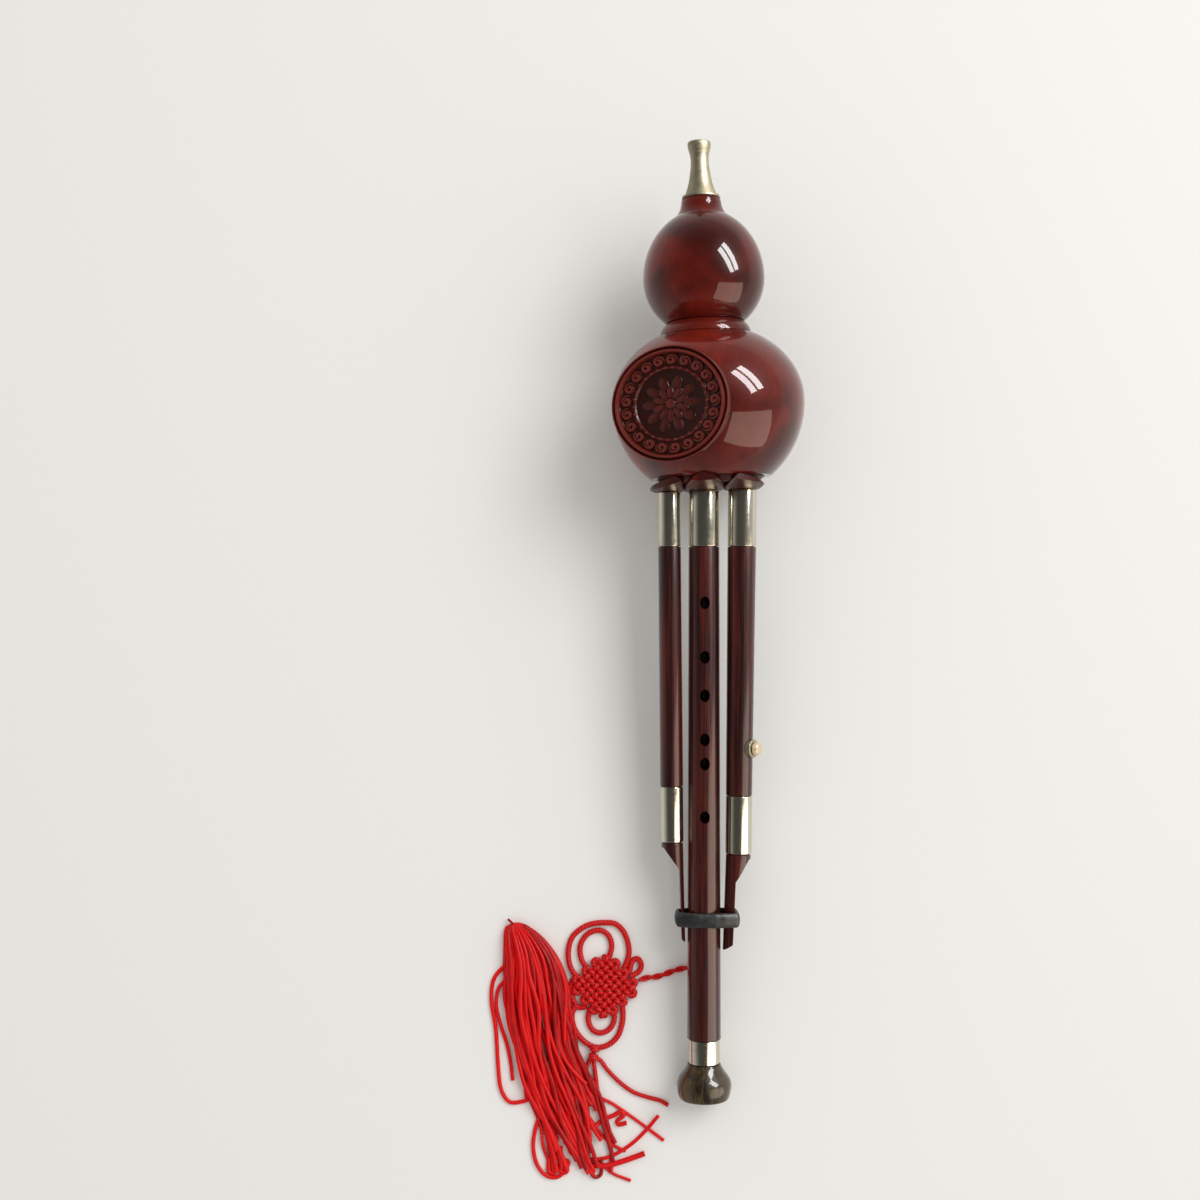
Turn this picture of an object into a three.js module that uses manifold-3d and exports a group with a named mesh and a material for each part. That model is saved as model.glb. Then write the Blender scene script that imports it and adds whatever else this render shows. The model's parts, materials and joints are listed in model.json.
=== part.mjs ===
// A hulusi, the gourd flute with three pipes, lying on its large bulb and its bell.
// Millimetres, +Z up, +Y along the instrument towards the mouthpiece, +X to the right.
import * as THREE from "three";
import { mergeVertices } from "three/addons/utils/BufferGeometryUtils.js";
import Module from "manifold-3d";

const wasm = await Module();
wasm.setup();

// Fits
const seatGap = 0.3; // between pieces that touch
const sealGap = 0.15; // round a seal, which fills its groove
const overrun = 1; // how far a cutter passes the face that it cuts
const floorGap = 0.1; // under the soft pieces, which lie on the floor
const samePoint = 1e-4; // corners that are closer are one corner
const shortestEdge = 0.03; // of an outline drawn by a formula

// Sides of round pieces
const gourdSides = 32;
const pipeSides = 20;
const smallSides = 12;
const ringSides = 6;
const outerArcSteps = 5;
const innerArcSteps = 3;

// Bell and the ferrule above it
const bellLength = 15.8;
const bellRadius = 12.3;
const bellMouthRadius = 9.6;
const bellRimWidth = 1.2;
const bellNeckRadius = 7.4;
const bellWidestShare = 0.4; // of the bell, from its mouth
// Share of the flare outside the neck's radius, and share of the bell's length from its mouth
const bellOutsideShares = [
  [0.92, 0.1],
  [1, 0.24],
  [1, bellWidestShare],
  [0.78, 0.56],
  [0.36, 0.74],
  [0.08, 0.9],
];
const bellBoreShare = 0.72; // of the bell's length, where the straight bore begins
const bottomFerruleLength = 11.2;
const bottomFerruleRadius = 7;
const ferruleWall = 0.7;

// Main pipe
const mainPipeLength = 221;
const mainTopRadius = 6.95;
const mainFootRadius = 7.6;
const mainBore = 4.6;
const topFerruleLength = 25.5;
const tenonShare = 0.43; // of a ferrule, for the tenon at each of its ends
const footTenonLength = 5;
const fingerHoleWidth = 4.2;
const fingerHoleLength = 5.4;
const fingerHoleShares = [0.886, 0.776, 0.6985, 0.6095, 0.5605, 0.4525]; // of the pipe, from its foot
const thumbHoleShare = 0.93;
const cordHoleFit = 0.5; // round the cord
const cordHoleShares = [0.134, 0.175];

// Gourd, whose axis leans a little to the left of the pipes
const gourdLean = THREE.MathUtils.degToRad(2);
const gourdOffset = 3.2;
const gourdWall = 3;
const bulbRadius = 43.2;
const bulbLowerHeight = 43.5;
const bulbUpperHeight = 35;
const bulbFootRadius = 27.2; // where the pipe seat closes it
const bulbJointRadius = 22.9; // where the small bulb meets it
const socketRadius = 15;
const socketDepth = 9.5;
const waistRingHeight = 6.5;
const waistRingWall = 5.6;
const waistRingEdgeShare = 0.17; // of its height, straight at each edge
const waistStep = 2.5; // from the socket's radius out to the waist
const smallBulbRadius = 27.3;
const smallBulbLowerHeight = 25.5;
const smallBulbUpperHeight = 31.3;
const neckFootRadius = 11.7;
const neckRadius = 9;
const neckLength = 7.6;
const neckBore = 5.5;
// Share of the flare outside the neck's radius, and share of the neck's length
const neckFlareShares = [
  [0.33, 0.33],
  [0, 0.8],
];

// Medallion and the boss that carries it
const medallionTurn = THREE.MathUtils.degToRad(30.4); // to the left of the front
const medallionWidth = 57;
const medallionHeight = 48;
const medallionDrop = 2.6; // below the bulb's widest place
const medallionThickness = 3.4;
const bossSink = 8.2; // of the boss's flat, inside the bulb's widest place
const bossInset = 1.2;
const bossRootShare = 0.5; // of its distance from the axis, where it starts inside the wall
const petalCount = 16;
const rosetteCount = 8;
const petalLength = 7.4;
const petalWidth = 6.4;
const rosetteLength = 8;
const rosetteWidth = 4.6;
const petalRise = 1.3;
// Share of the medallion's radius, and share of its thickness
const medallionProfileShares = [
  [0, 0],
  [0.97, 0],
  [1, 0.2],
  [1, 0.66],
  [0.975, 0.9],
  [0.93, 1],
  [0.89, 0.9],
  [0.875, 0.62],
  [0.85, 0.62],
  [0.835, 0.84],
  [0.8, 0.92],
  [0.77, 0.84],
  [0.755, 0.5],
  [0.47, 0.5],
  [0.455, 0.72],
  [0.425, 0.72],
  [0.41, 0.5],
  [0, 0.5],
];
const petalRingShare = 0.61;
const rosetteRingShare = 0.21;

// Pipe seat
const seatHeight = 5.5;
const seatPlugRise = 5;
const seatPlugBevel = 2.75;
const seatLobeWall = 1.4;
const seatLobeFlare = 2.6;
const seatLobeDepthShare = 1.3; // the lobes reach further to the front and back

// Mouthpiece
const mouthpieceLength = 25.6;
const mouthpieceFlangeRadius = 8.5;
const mouthpieceNeckRadius = 4.05;
const mouthpieceLipRadius = 5.2;
const mouthpieceBore = 2;
const mouthpieceFlangeThickness = 1.2;
const mouthpieceTenonRadius = 3.6;
const mouthpieceTenonLength = 13;
const corkLength = 10;
// Share of the way from the flange to the lip, and share of the flare left over the neck's radius
const mouthpieceFlareShares = [
  [0.13, 0.56],
  [0.27, 0.3],
  [0.45, 0.11],
];
const mouthpieceNeckShare = 0.64;
const mouthpieceLipShare = 0.955;

// Reed tubes: each pipe that sounds has one
const reedRise = 42; // above the seat, inside the gourd
const tubeWall = 0.7;
const reedFlatDepth = 1; // of the flat for the reed plate
const reedPlateLength = 19;
const reedPlateThickness = 0.6;
const reedWindowInset = 2; // of the window's ends from the plate's
const reedTongueLength = 14;
const reedTongueWidth = 2;
const reedSlit = 0.25;
const reedCapThickness = 1.7;
const reedCapPlug = 2.3;

// Side pipes, each with a scooped tail
const drone = {
  side: 1,
  offset: 17.3,
  lean: THREE.MathUtils.degToRad(-0.65),
  topRadius: 6.45,
  footRadius: 5.9,
  bore: 3.6,
  tubeRadius: 4.2,
  pipeLength: 111.6,
  lowerFerruleLength: 26.3,
  tailLength: 43.5,
  stripThickness: 4.6,
};
const mute = {
  side: -1,
  offset: -15.7,
  lean: THREE.MathUtils.degToRad(0.5),
  topRadius: 5.15,
  footRadius: 5.2,
  bore: 2.4,
  tubeRadius: 3.2,
  pipeLength: 107.5,
  lowerFerruleLength: 25.2,
  tailLength: 46.3,
  stripThickness: 2.2,
};
const mainTubeRadius = 5;
const tailInset = 0.3; // the tail is a little slimmer than its ferrule
const tailTaper = 0.5;
const tailGap = 0.9; // between a tail's tip and the main pipe
const scoopLength = 9.5;
// The scoop's curve: share of the rod's radius out of the strip, and share of its own length
const scoopStartShare = 0.125;
const scoopShoulderShares = [0.8, 0.25];
const scoopBendShares = [0.33, 1];
const scoopEndShare = 1.3;
const tailTipRise = 3;

// Drone stopper
const stopperTurn = THREE.MathUtils.degToRad(57); // from the front to the right
const stopperShare = 0.81; // of the drone pipe, from its top
const bushRadius = 4.2;
const bushSleeveRadius = 2.6;
const bushRise = 1.3;
const bushBore = 1.8;
const stopperStemRadius = 1.5;
const stopperKnobRadius = 3.1;
const stopperKnobHeight = 3;
// Share of the knob's radius, and share of its height
const stopperKnobShares = [
  [0.86, 0],
  [1, 0.25],
  [1, 0.5],
  [0.78, 0.86],
  [0.4, 1],
  [0, 1],
];

// Rubber ring
const rubberRingRise = 12.1; // of its middle above the higher tail's tip
const rubberRingHeight = 7.6;
const rubberWall = 2;
const rubberBevelShare = 0.2; // of its wall
const hullSteps = 32;

// Cord, knot and tassel, on the floor; places are from the bell's end, on the pipe's line
const cordDiameter = 2.4;
const cordSides = 8;
const cordSteps = 18;
const cordPoints = [
  [0, 57.2, 11.2],
  [0, 57.2, 8],
  [-0.3, 57.2, 6.4],
  [-0.9, 57.1, 5],
  [-1.9, 57, 3.9],
  [-3.1, 56.9, 3.1],
  [-4.6, 56.8, 2.4],
  [-6.2, 56.6, 2],
  [-9.4, 56.1, 1.5],
  [-12.6, 55.2, 1.4],
  [-15.6, 54.1, 1.4],
  [-18.6, 53, 1.4],
  [-21.6, 52.3, 1.4],
  [-24.6, 52.1, 1.6],
  [-27, 51.5, 1.9],
  [-29, 51, 2.3],
];
const knotCentre = [-44.7, 48.2];
const knotSide = 19.3;
const knotTurn = THREE.MathUtils.degToRad(42);
const knotWeave = 5; // cords each way
const knotCordRadius = 1.6;
const knotLayerRise = 2.5;
const knotLoopRiseShare = 0.25; // of that rise
const loopCordRadius = 1.2;
const loopSides = 6;
const loopSteps = 10;
// Centre and radii of each loop, as shares of the knot's side
const knotLoopShares = [
  { centre: [-0.15, 0.8], radii: [0.74, 0.68] },
  { centre: [-0.2, 0.92], radii: [0.36, 0.36] },
  { centre: [0.66, 0.45], radii: [0.2, 0.22] },
  { centre: [-0.5, -0.1], radii: [0.17, 0.4] },
  { centre: [-0.1, -0.78], radii: [0.44, 0.62] },
  { centre: [0, -0.68], radii: [0.24, 0.34] },
];
const linkCordRadius = 1.1;
const linkKnotRadius = 1.9;
const linkKnotShares = [0.2, 0.45];
const linkPoints = [
  [-48.9, 20.6, 1.6],
  [-49.8, 15.8, 1.7],
  [-49.4, 11, 1.6],
  [-48.6, 7, 1.5],
  [-48.6, 2.3, 1.4],
];
const looseEndRadius = 0.9;
const looseEndPoints = [
  [-49.6, 13, 1.6],
  [-44.6, 9.4, 1.3],
  [-36, 1.6, 1.1],
  [-28.6, -3.2, 1.1],
  [-22, -4.8, 1.1],
  [-16.2, -4.2, 1.1],
];
const tasselPlace = [-85.7, 75.6];
const tasselLength = 112.5;
const tasselWidth = 32.9;
const tasselHeight = 11;
const tasselHeadEndShare = 0.045;
const tasselRidges = 8;
const tasselRidgeShare = 0.1;
// Share of the length, share of the width to the right, half width and height as shares
const tasselStationShares = [
  [0, 0.0, 0.13, 0.4],
  [0.02, 0.05, 0.2, 0.62],
  [0.045, 0.09, 0.27, 0.78],
  [0.12, 0.21, 0.385, 1],
  [0.28, 0.3, 0.5, 1],
  [0.48, 0.43, 0.46, 0.92],
  [0.68, 0.66, 0.48, 0.76],
  [0.84, 0.85, 0.41, 0.6],
  [0.94, 0.95, 0.35, 0.46],
  [1, 1.05, 0.2, 0.3],
];
const lockRadius = 1.3;
const lockSides = 6;
const lockSteps = 7;
// Stray strands: shares of the length and of the width
const lockShares = [
  [[0.1, -0.05], [0.3, -0.34], [0.52, -0.24], [0.66, -0.1], [0.71, 0.12], [0.7, 0.4]],
  [[0.78, 0.5], [0.9, 0.3], [0.98, 0.34], [1.01, 0.6], [0.97, 0.8]],
  [[0.85, 1.0], [0.96, 1.2], [0.97, 1.5], [0.92, 1.8]],
  [[0.64, 0.85], [0.69, 1.2], [0.77, 1.65], [0.85, 2.0]],
  [[0.88, 0.95], [0.94, 1.3], [0.86, 1.7], [0.79, 1.95]],
];

// Worked out from the sizes above
const mainFootY = bellLength + bottomFerruleLength;
const mainShoulderY = mainFootY + mainPipeLength;
const seatY = mainShoulderY + topFerruleLength;
const topTenonLength = tenonShare * topFerruleLength;
const bulbFootDepth = bulbLowerHeight * Math.sqrt(1 - (bulbFootRadius / bulbRadius) ** 2);
const bulbShoulderDepth = bulbUpperHeight * Math.sqrt(1 - (bulbJointRadius / bulbRadius) ** 2);
const seatPlugRadius = bulbFootRadius - gourdWall - seatGap;
const waistRadius = socketRadius + waistStep;
const waistRingFootRadius = socketRadius + waistRingWall;
const bossDistance = bulbRadius - bossSink; // from the bulb's axis to the flat of the boss
const shellFootY = seatY + seatHeight;
const bulbY = shellFootY + bulbFootDepth;
const jointY = bulbY + bulbShoulderDepth;
const smallShoulderY = jointY + waistRingHeight;
const smallBulbY =
  smallShoulderY + smallBulbLowerHeight * Math.sqrt(1 - (waistRadius / smallBulbRadius) ** 2);
const neckFootY =
  smallBulbY + smallBulbUpperHeight * Math.sqrt(1 - (neckFootRadius / smallBulbRadius) ** 2);
const neckTopY = neckFootY + neckLength;
const bellWidestY = bellWidestShare * bellLength;
const restTilt = Math.asin((bulbRadius - bellRadius) / (bulbY - bellWidestY));
const ferruleFit = ferruleWall + seatGap; // from a ferrule's outside to the tenon inside it

const lacquer = { color: 0x6b1f1a, roughness: 0.18, metalness: 0 };
const darkWood = { color: 0x3f1412, roughness: 0.3, metalness: 0 };
const nickel = { color: 0xb4b0a2, roughness: 0.22, metalness: 1 };
const paleMetal = { color: 0xa8a088, roughness: 0.3, metalness: 1 };
const brass = { color: 0xb08d45, roughness: 0.35, metalness: 1 };
const horn = { color: 0x433b22, roughness: 0.2, metalness: 0 };
const ivory = { color: 0xbd9a72, roughness: 0.3, metalness: 0 };
const blackRubber = { color: 0x1e2322, roughness: 0.5, metalness: 0 };
const cork = { color: 0xb58a5c, roughness: 0.9, metalness: 0 };
const redCord = { color: 0xc8181d, roughness: 0.7, metalness: 0 };

// Geometry helpers

function closed(geometry) {
  const bare = geometry.clone();
  for (const name of Object.keys(bare.attributes)) {
    if (name !== "position") bare.deleteAttribute(name);
  }
  return mergeVertices(bare, samePoint);
}

function solidOf(geometry) {
  const merged = closed(geometry);
  const index = merged.index.array;
  const faces = [];
  for (let i = 0; i < index.length; i += 3) {
    const [a, b, c] = [index[i], index[i + 1], index[i + 2]];
    if (a !== b && b !== c && c !== a) faces.push(a, b, c);
  }
  const vertProperties = merged.attributes.position.array;
  const triVerts = new Uint32Array(faces);
  return new wasm.Manifold(new wasm.Mesh({ numProp: 3, vertProperties, triVerts }));
}

function geometryOf(solid) {
  const { vertProperties, triVerts, numProp } = solid.getMesh();
  const geometry = new THREE.BufferGeometry();
  geometry.setAttribute("position", new THREE.BufferAttribute(vertProperties.slice(), numProp));
  geometry.setIndex(new THREE.BufferAttribute(triVerts.slice(), 1));
  geometry.computeVertexNormals();
  return geometry;
}

function join(...geometries) {
  return geometryOf(geometries.map(solidOf).reduce((whole, next) => whole.add(next)));
}

function cut(body, ...cutters) {
  return geometryOf(cutters.map(solidOf).reduce((whole, next) => whole.subtract(next), solidOf(body)));
}

// A solid of revolution round Y: profile points are [radius, y], up the outside and down the inside.
function turned(profile, sides) {
  return new THREE.LatheGeometry(profile.map(([r, y]) => new THREE.Vector2(r, y)), sides);
}

function disc(radius, bottom, top, sides) {
  return turned([[0, bottom], [radius, bottom], [radius, top], [0, top]], sides);
}

function sleeve(outer, inner, bottom, top, sides) {
  return turned([[inner, bottom], [outer, bottom], [outer, top], [inner, top], [inner, bottom]], sides);
}

// Points of an ellipse round the axis, by its elevation angle at each end.
function arc(radius, height, centre, from, to, steps = outerArcSteps) {
  return Array.from({ length: steps + 1 }, (_, i) => {
    const angle = from + ((to - from) * i) / steps;
    return [radius * Math.cos(angle), centre + height * Math.sin(angle)];
  });
}

// A ring of round section, half of whose thickness is its section's radius.
function sealRing(middle, half, y) {
  const profile = Array.from({ length: ringSides + 1 }, (_, i) => {
    const angle = (i * 2 * Math.PI) / ringSides;
    return [middle + half * Math.cos(angle), y + half * Math.sin(angle)];
  });
  return turned(profile, pipeSides);
}

// A round bar along Z, through the wall between two heights.
function crossBar(width, length, y, near, far) {
  const bar = disc(1, near, far, smallSides).rotateX(Math.PI / 2);
  return bar.scale(width / 2, length / 2, 1).translate(0, y, 0);
}

// A tube of many sides along a smooth curve through the points.
function tubeAlong(points, radius, sides, steps, loop = false) {
  const curve = new THREE.CatmullRomCurve3(points.map((p) => new THREE.Vector3(...p)), loop);
  const section = new THREE.Shape(
    Array.from({ length: sides }, (_, i) => {
      const angle = (i * 2 * Math.PI) / sides;
      return new THREE.Vector2(radius * Math.cos(angle), radius * Math.sin(angle));
    }),
  );
  return new THREE.ExtrudeGeometry(section, { steps, extrudePath: curve, curveSegments: sides });
}

function ellipseLoop(centre, radii, height, tubeRadius) {
  const points = Array.from({ length: loopSteps }, (_, i) => {
    const angle = (i * 2 * Math.PI) / loopSteps;
    return [centre[0] + radii[0] * Math.cos(angle), centre[1] + radii[1] * Math.sin(angle), height];
  });
  return tubeAlong(points, tubeRadius, loopSides, loopSteps, true);
}

function mesh(name, geometry, look) {
  const made = new THREE.Mesh(geometry, new THREE.MeshStandardMaterial(look));
  made.name = name;
  return made;
}

// Gourd

const lowerFootAngle = -Math.asin(bulbFootDepth / bulbLowerHeight);
const lowerTopAngle = Math.asin(bulbShoulderDepth / bulbUpperHeight);

function bulbOutline() {
  return [
    ...arc(bulbRadius, bulbLowerHeight, bulbY, lowerFootAngle, 0),
    ...arc(bulbRadius, bulbUpperHeight, bulbY, 0, lowerTopAngle).slice(1),
  ];
}

function cavityOutline() {
  const radius = bulbRadius - gourdWall;
  const lower = bulbLowerHeight - gourdWall;
  const upper = bulbUpperHeight - gourdWall;
  const collar = socketRadius + gourdWall;
  const floorAngle = -Math.asin((bulbFootDepth - gourdWall) / lower);
  return [
    ...arc(radius, lower, bulbY, floorAngle, 0, innerArcSteps),
    ...arc(radius, upper, bulbY, 0, Math.acos(collar / radius), innerArcSteps).slice(1),
    [collar, jointY - socketDepth],
    [socketRadius, jointY - socketDepth],
    [socketRadius, jointY + overrun],
  ];
}

function medallionFrame(geometry) {
  return geometry.rotateY(-medallionTurn).translate(0, bulbY - medallionDrop, 0);
}

function ovalPrism(width, height, near, far) {
  const prism = disc(1, near, far, gourdSides).rotateX(Math.PI / 2);
  return prism.scale(width / 2, height / 2, 1);
}

// The boss stands on the bulb, its top is flat, and the wall behind it is as thick as elsewhere.
function lowerShell() {
  const outside = [[0, shellFootY], ...bulbOutline(), [0, jointY]];
  const inside = [[0, shellFootY + gourdWall], ...cavityOutline(), [0, jointY + overrun]];
  const [width, height] = [medallionWidth - 2 * bossInset, medallionHeight - 2 * bossInset];
  const wallDistance = bossDistance - gourdWall;
  const boss = ovalPrism(width, height, bossRootShare * bossDistance, bossDistance);
  const recess = ovalPrism(medallionWidth, medallionHeight, bossDistance, bulbRadius + overrun);
  const wall = ovalPrism(width, height, wallDistance, bulbRadius + overrun);
  const opening = disc(
    seatPlugRadius + seatGap,
    shellFootY - overrun,
    shellFootY + gourdWall + overrun,
    gourdSides,
  );
  const skin = join(turned(outside, gourdSides), medallionFrame(boss));
  const cavity = cut(turned(inside, gourdSides), medallionFrame(wall));
  return cut(skin, medallionFrame(recess), cavity, opening);
}

function upperShell() {
  const tenon = socketRadius - seatGap;
  const shoulder = smallShoulderY;
  const tenonFoot = jointY - socketDepth + seatGap;
  const innerRadius = smallBulbRadius - gourdWall;
  const innerLower = smallBulbLowerHeight - gourdWall;
  const innerUpper = smallBulbUpperHeight - gourdWall;
  const tenonBore = tenon - gourdWall;
  const footAngle = -Math.acos(waistRadius / smallBulbRadius);
  const neckAngle = Math.acos(neckFootRadius / smallBulbRadius);
  const neckFlare = neckFootRadius - neckRadius;
  const cavityTop = Math.acos(neckBore / innerRadius);
  const cavityFoot = -Math.acos(tenonBore / innerRadius);
  const profile = [
    [tenonBore, tenonFoot],
    [tenon, tenonFoot],
    [tenon, shoulder],
    ...arc(smallBulbRadius, smallBulbLowerHeight, smallBulbY, footAngle, 0),
    ...arc(smallBulbRadius, smallBulbUpperHeight, smallBulbY, 0, neckAngle).slice(1),
    ...neckFlareShares.map(([out, along]) => [
      neckRadius + out * neckFlare,
      neckFootY + along * neckLength,
    ]),
    [neckRadius, neckTopY],
    [neckBore, neckTopY],
    ...arc(innerRadius, innerUpper, smallBulbY, cavityTop, 0, innerArcSteps),
    ...arc(innerRadius, innerLower, smallBulbY, 0, cavityFoot, innerArcSteps).slice(1),
    [tenonBore, tenonFoot],
  ];
  return turned(profile, gourdSides);
}

function waistRing() {
  const inner = socketRadius;
  const top = smallShoulderY - seatGap;
  const foot = jointY + seatGap;
  const edge = waistRingEdgeShare * waistRingHeight;
  return turned(
    [
      [inner, foot],
      [waistRingFootRadius, foot],
      [waistRingFootRadius, foot + edge],
      [(waistRingFootRadius + waistRadius) / 2, (foot + top) / 2],
      [waistRadius, top - edge],
      [waistRadius, top],
      [inner, top],
      [inner, foot],
    ],
    gourdSides,
  );
}

function petal(length, width, ringShare, angle) {
  const bump = new THREE.SphereGeometry(1, ringSides, ringSides - 2);
  bump.scale(length / 2, width / 2, petalRise);
  bump.rotateZ(angle);
  const [across, up] = [(ringShare * medallionWidth) / 2, (ringShare * medallionHeight) / 2];
  return bump.translate(across * Math.cos(angle), up * Math.sin(angle), medallionThickness / 2);
}

function medallion() {
  const profile = medallionProfileShares.map(([r, h]) => [r, h * medallionThickness]);
  const plate = turned(profile, gourdSides).rotateX(Math.PI / 2);
  plate.scale(medallionWidth / 2, medallionHeight / 2, 1);
  const petals = Array.from({ length: petalCount }, (_, i) =>
    petal(petalLength, petalWidth, petalRingShare, ((i + 0.5) * 2 * Math.PI) / petalCount),
  );
  const rosette = Array.from({ length: rosetteCount }, (_, i) =>
    petal(rosetteLength, rosetteWidth, rosetteRingShare, (i * 2 * Math.PI) / rosetteCount),
  );
  const carved = join(plate, ...petals, ...rosette);
  return medallionFrame(carved.translate(0, 0, bossDistance + seatGap));
}

// Pipe seat, in the gourd's frame, with holes in line with the pipes

function seatBody() {
  const middle = seatY + seatHeight / 2;
  const plug = turned(
    [
      [0, middle],
      [seatPlugRadius - seatPlugBevel, middle],
      [seatPlugRadius, shellFootY],
      [seatPlugRadius, shellFootY + gourdWall + seatPlugRise],
      [0, shellFootY + gourdWall + seatPlugRise],
    ],
    gourdSides,
  );
  const lobes = [
    [drone.offset, drone.topRadius],
    [0, mainTopRadius],
    [mute.offset, mute.topRadius],
  ].map(([offset, radius]) => {
    const foot = radius + seatLobeWall;
    const lobe = turned(
      [
        [0, seatY],
        [foot, seatY],
        [foot + seatLobeFlare / 2, middle],
        [foot + seatLobeFlare, shellFootY - seatGap],
        [0, shellFootY - seatGap],
      ],
      pipeSides,
    );
    return lobe.scale(1, 1, seatLobeDepthShare).translate(offset - gourdOffset, 0, 0);
  });
  return join(plug, ...lobes);
}

function pipeSeat(gourdMatrix, pipeMatrices) {
  const toGourd = gourdMatrix.clone().invert();
  const holes = pipeMatrices.map(({ matrix, radius }) =>
    disc(radius + seatGap, -2 * seatHeight, reedRise, pipeSides)
      .applyMatrix4(matrix)
      .applyMatrix4(toGourd),
  );
  return cut(seatBody(), ...holes);
}

// Mouthpiece

function mouthpiece() {
  const foot = neckTopY + seatGap;
  const top = foot + mouthpieceLength;
  const flare = mouthpieceFlangeRadius - mouthpieceNeckRadius;
  const lip = mouthpieceLipRadius - mouthpieceFlangeThickness / 2;
  return turned(
    [
      [mouthpieceBore, neckTopY - mouthpieceTenonLength],
      [mouthpieceTenonRadius, neckTopY - mouthpieceTenonLength],
      [mouthpieceTenonRadius, foot],
      [mouthpieceFlangeRadius, foot],
      [mouthpieceFlangeRadius, foot + mouthpieceFlangeThickness],
      ...mouthpieceFlareShares.map(([along, out]) => [
        mouthpieceNeckRadius + out * flare,
        foot + along * mouthpieceLength,
      ]),
      [mouthpieceNeckRadius, foot + mouthpieceNeckShare * mouthpieceLength],
      [mouthpieceLipRadius, foot + mouthpieceLipShare * mouthpieceLength],
      [lip, top],
      [mouthpieceBore, top],
      [mouthpieceBore, neckTopY - mouthpieceTenonLength],
    ],
    pipeSides,
  );
}

function mouthpieceCork() {
  const top = neckTopY - seatGap;
  const inner = mouthpieceTenonRadius + seatGap;
  return sleeve(neckBore - sealGap, inner, top - corkLength, top, pipeSides);
}

// Reed tubes, in a pipe's frame, whose origin is on the pipe's axis at the seat

const sealY = -topTenonLength / 2;

// The seal ring lies between the groove's floor and the ferrule, with a seal's gap to each.
function sealPlace(tubeRadius, ferruleRadius) {
  const inner = tubeRadius - tubeWall / 2 + sealGap;
  const outer = ferruleRadius - ferruleWall - sealGap;
  return { middle: (outer + inner) / 2, half: (outer - inner) / 2 };
}

function reedTube(radius, ferruleRadius) {
  const tube = sleeve(radius, radius - tubeWall, -topTenonLength, reedRise, pipeSides);
  const flat = radius - reedFlatDepth;
  const top = reedRise - reedCapPlug - reedWindowInset;
  const block = new THREE.BoxGeometry(2 * radius, reedPlateLength, 2 * reedFlatDepth);
  block.translate(0, top - reedPlateLength / 2, flat + reedFlatDepth);
  const half = sealPlace(radius, ferruleRadius).half + sealGap;
  const [foot, rim] = [sealY - half, sealY + half];
  const groove = sleeve(radius + overrun, radius - tubeWall / 2, foot, rim, pipeSides);
  return cut(tube, block, groove);
}

// The tongue is a long triangle, free on two sides and held at its broad end.
function reedPlate(radius) {
  const flat = radius - reedFlatDepth;
  const width = 2 * Math.sqrt(radius ** 2 - flat ** 2);
  const length = reedPlateLength - 2 * seatGap;
  const plate = new THREE.Shape([
    new THREE.Vector2(-width / 2, -length / 2),
    new THREE.Vector2(width / 2, -length / 2),
    new THREE.Vector2(width / 2, length / 2),
    new THREE.Vector2(-width / 2, length / 2),
  ]);
  const [half, reach] = [reedTongueWidth / 2, reedTongueLength / 2];
  const slit = new THREE.Path([
    new THREE.Vector2(-half - reedSlit, -reach),
    new THREE.Vector2(-half, -reach),
    new THREE.Vector2(0, reach),
    new THREE.Vector2(half, -reach),
    new THREE.Vector2(half + reedSlit, -reach),
    new THREE.Vector2(0, reach + 2 * reedSlit),
  ]);
  plate.holes.push(slit);
  const made = new THREE.ExtrudeGeometry(plate, { depth: reedPlateThickness, bevelEnabled: false });
  const top = reedRise - reedCapPlug - reedWindowInset;
  return made.translate(0, top - reedPlateLength / 2, flat + seatGap / 2);
}

function reedCap(radius) {
  const plug = radius - tubeWall - seatGap;
  const foot = reedRise - reedCapPlug;
  return turned(
    [
      [0, foot],
      [plug, foot],
      [plug, reedRise + seatGap],
      [radius, reedRise + seatGap],
      [radius, reedRise + seatGap + reedCapThickness],
      [0, reedRise + seatGap + reedCapThickness],
    ],
    pipeSides,
  );
}

function tubeSeal(tubeRadius, ferruleRadius) {
  const { middle, half } = sealPlace(tubeRadius, ferruleRadius);
  return sealRing(middle, half, sealY);
}

// The gourd's foot slopes, so each top ferrule ends under the lowest place of the seat over it.
function ferruleTop(offset, radius) {
  return (offset - radius) * Math.tan(gourdLean) - seatGap;
}

function topFerrule(offset, radius) {
  const foot = -topFerruleLength + seatGap;
  return sleeve(radius, radius - ferruleWall, foot, ferruleTop(offset, radius), pipeSides);
}

// Main pipe, measured from the bell's end

function mainPipe() {
  const upperTenon = mainTopRadius - ferruleFit;
  const lowerTenon = bottomFerruleRadius - ferruleFit;
  const body = turned(
    [
      [mainBore, mainFootY - footTenonLength],
      [lowerTenon, mainFootY - footTenonLength],
      [lowerTenon, mainFootY],
      [mainFootRadius, mainFootY],
      [mainTopRadius, mainShoulderY],
      [upperTenon, mainShoulderY],
      [upperTenon, mainShoulderY + topTenonLength],
      [mainBore, mainShoulderY + topTenonLength],
      [mainBore, mainFootY - footTenonLength],
    ],
    pipeSides,
  );
  const far = mainFootRadius + overrun;
  const at = (share) => mainFootY + share * mainPipeLength;
  const front = fingerHoleShares.map((share) =>
    crossBar(fingerHoleWidth, fingerHoleLength, at(share), 0, far),
  );
  const thumb = crossBar(fingerHoleWidth, fingerHoleLength, at(thumbHoleShare), -far, 0);
  const cordHole = cordDiameter + 2 * cordHoleFit;
  const cordHoles = cordHoleShares.map((share) => crossBar(cordHole, cordHole, at(share), -far, 0));
  return cut(body, ...front, thumb, ...cordHoles);
}

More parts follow.
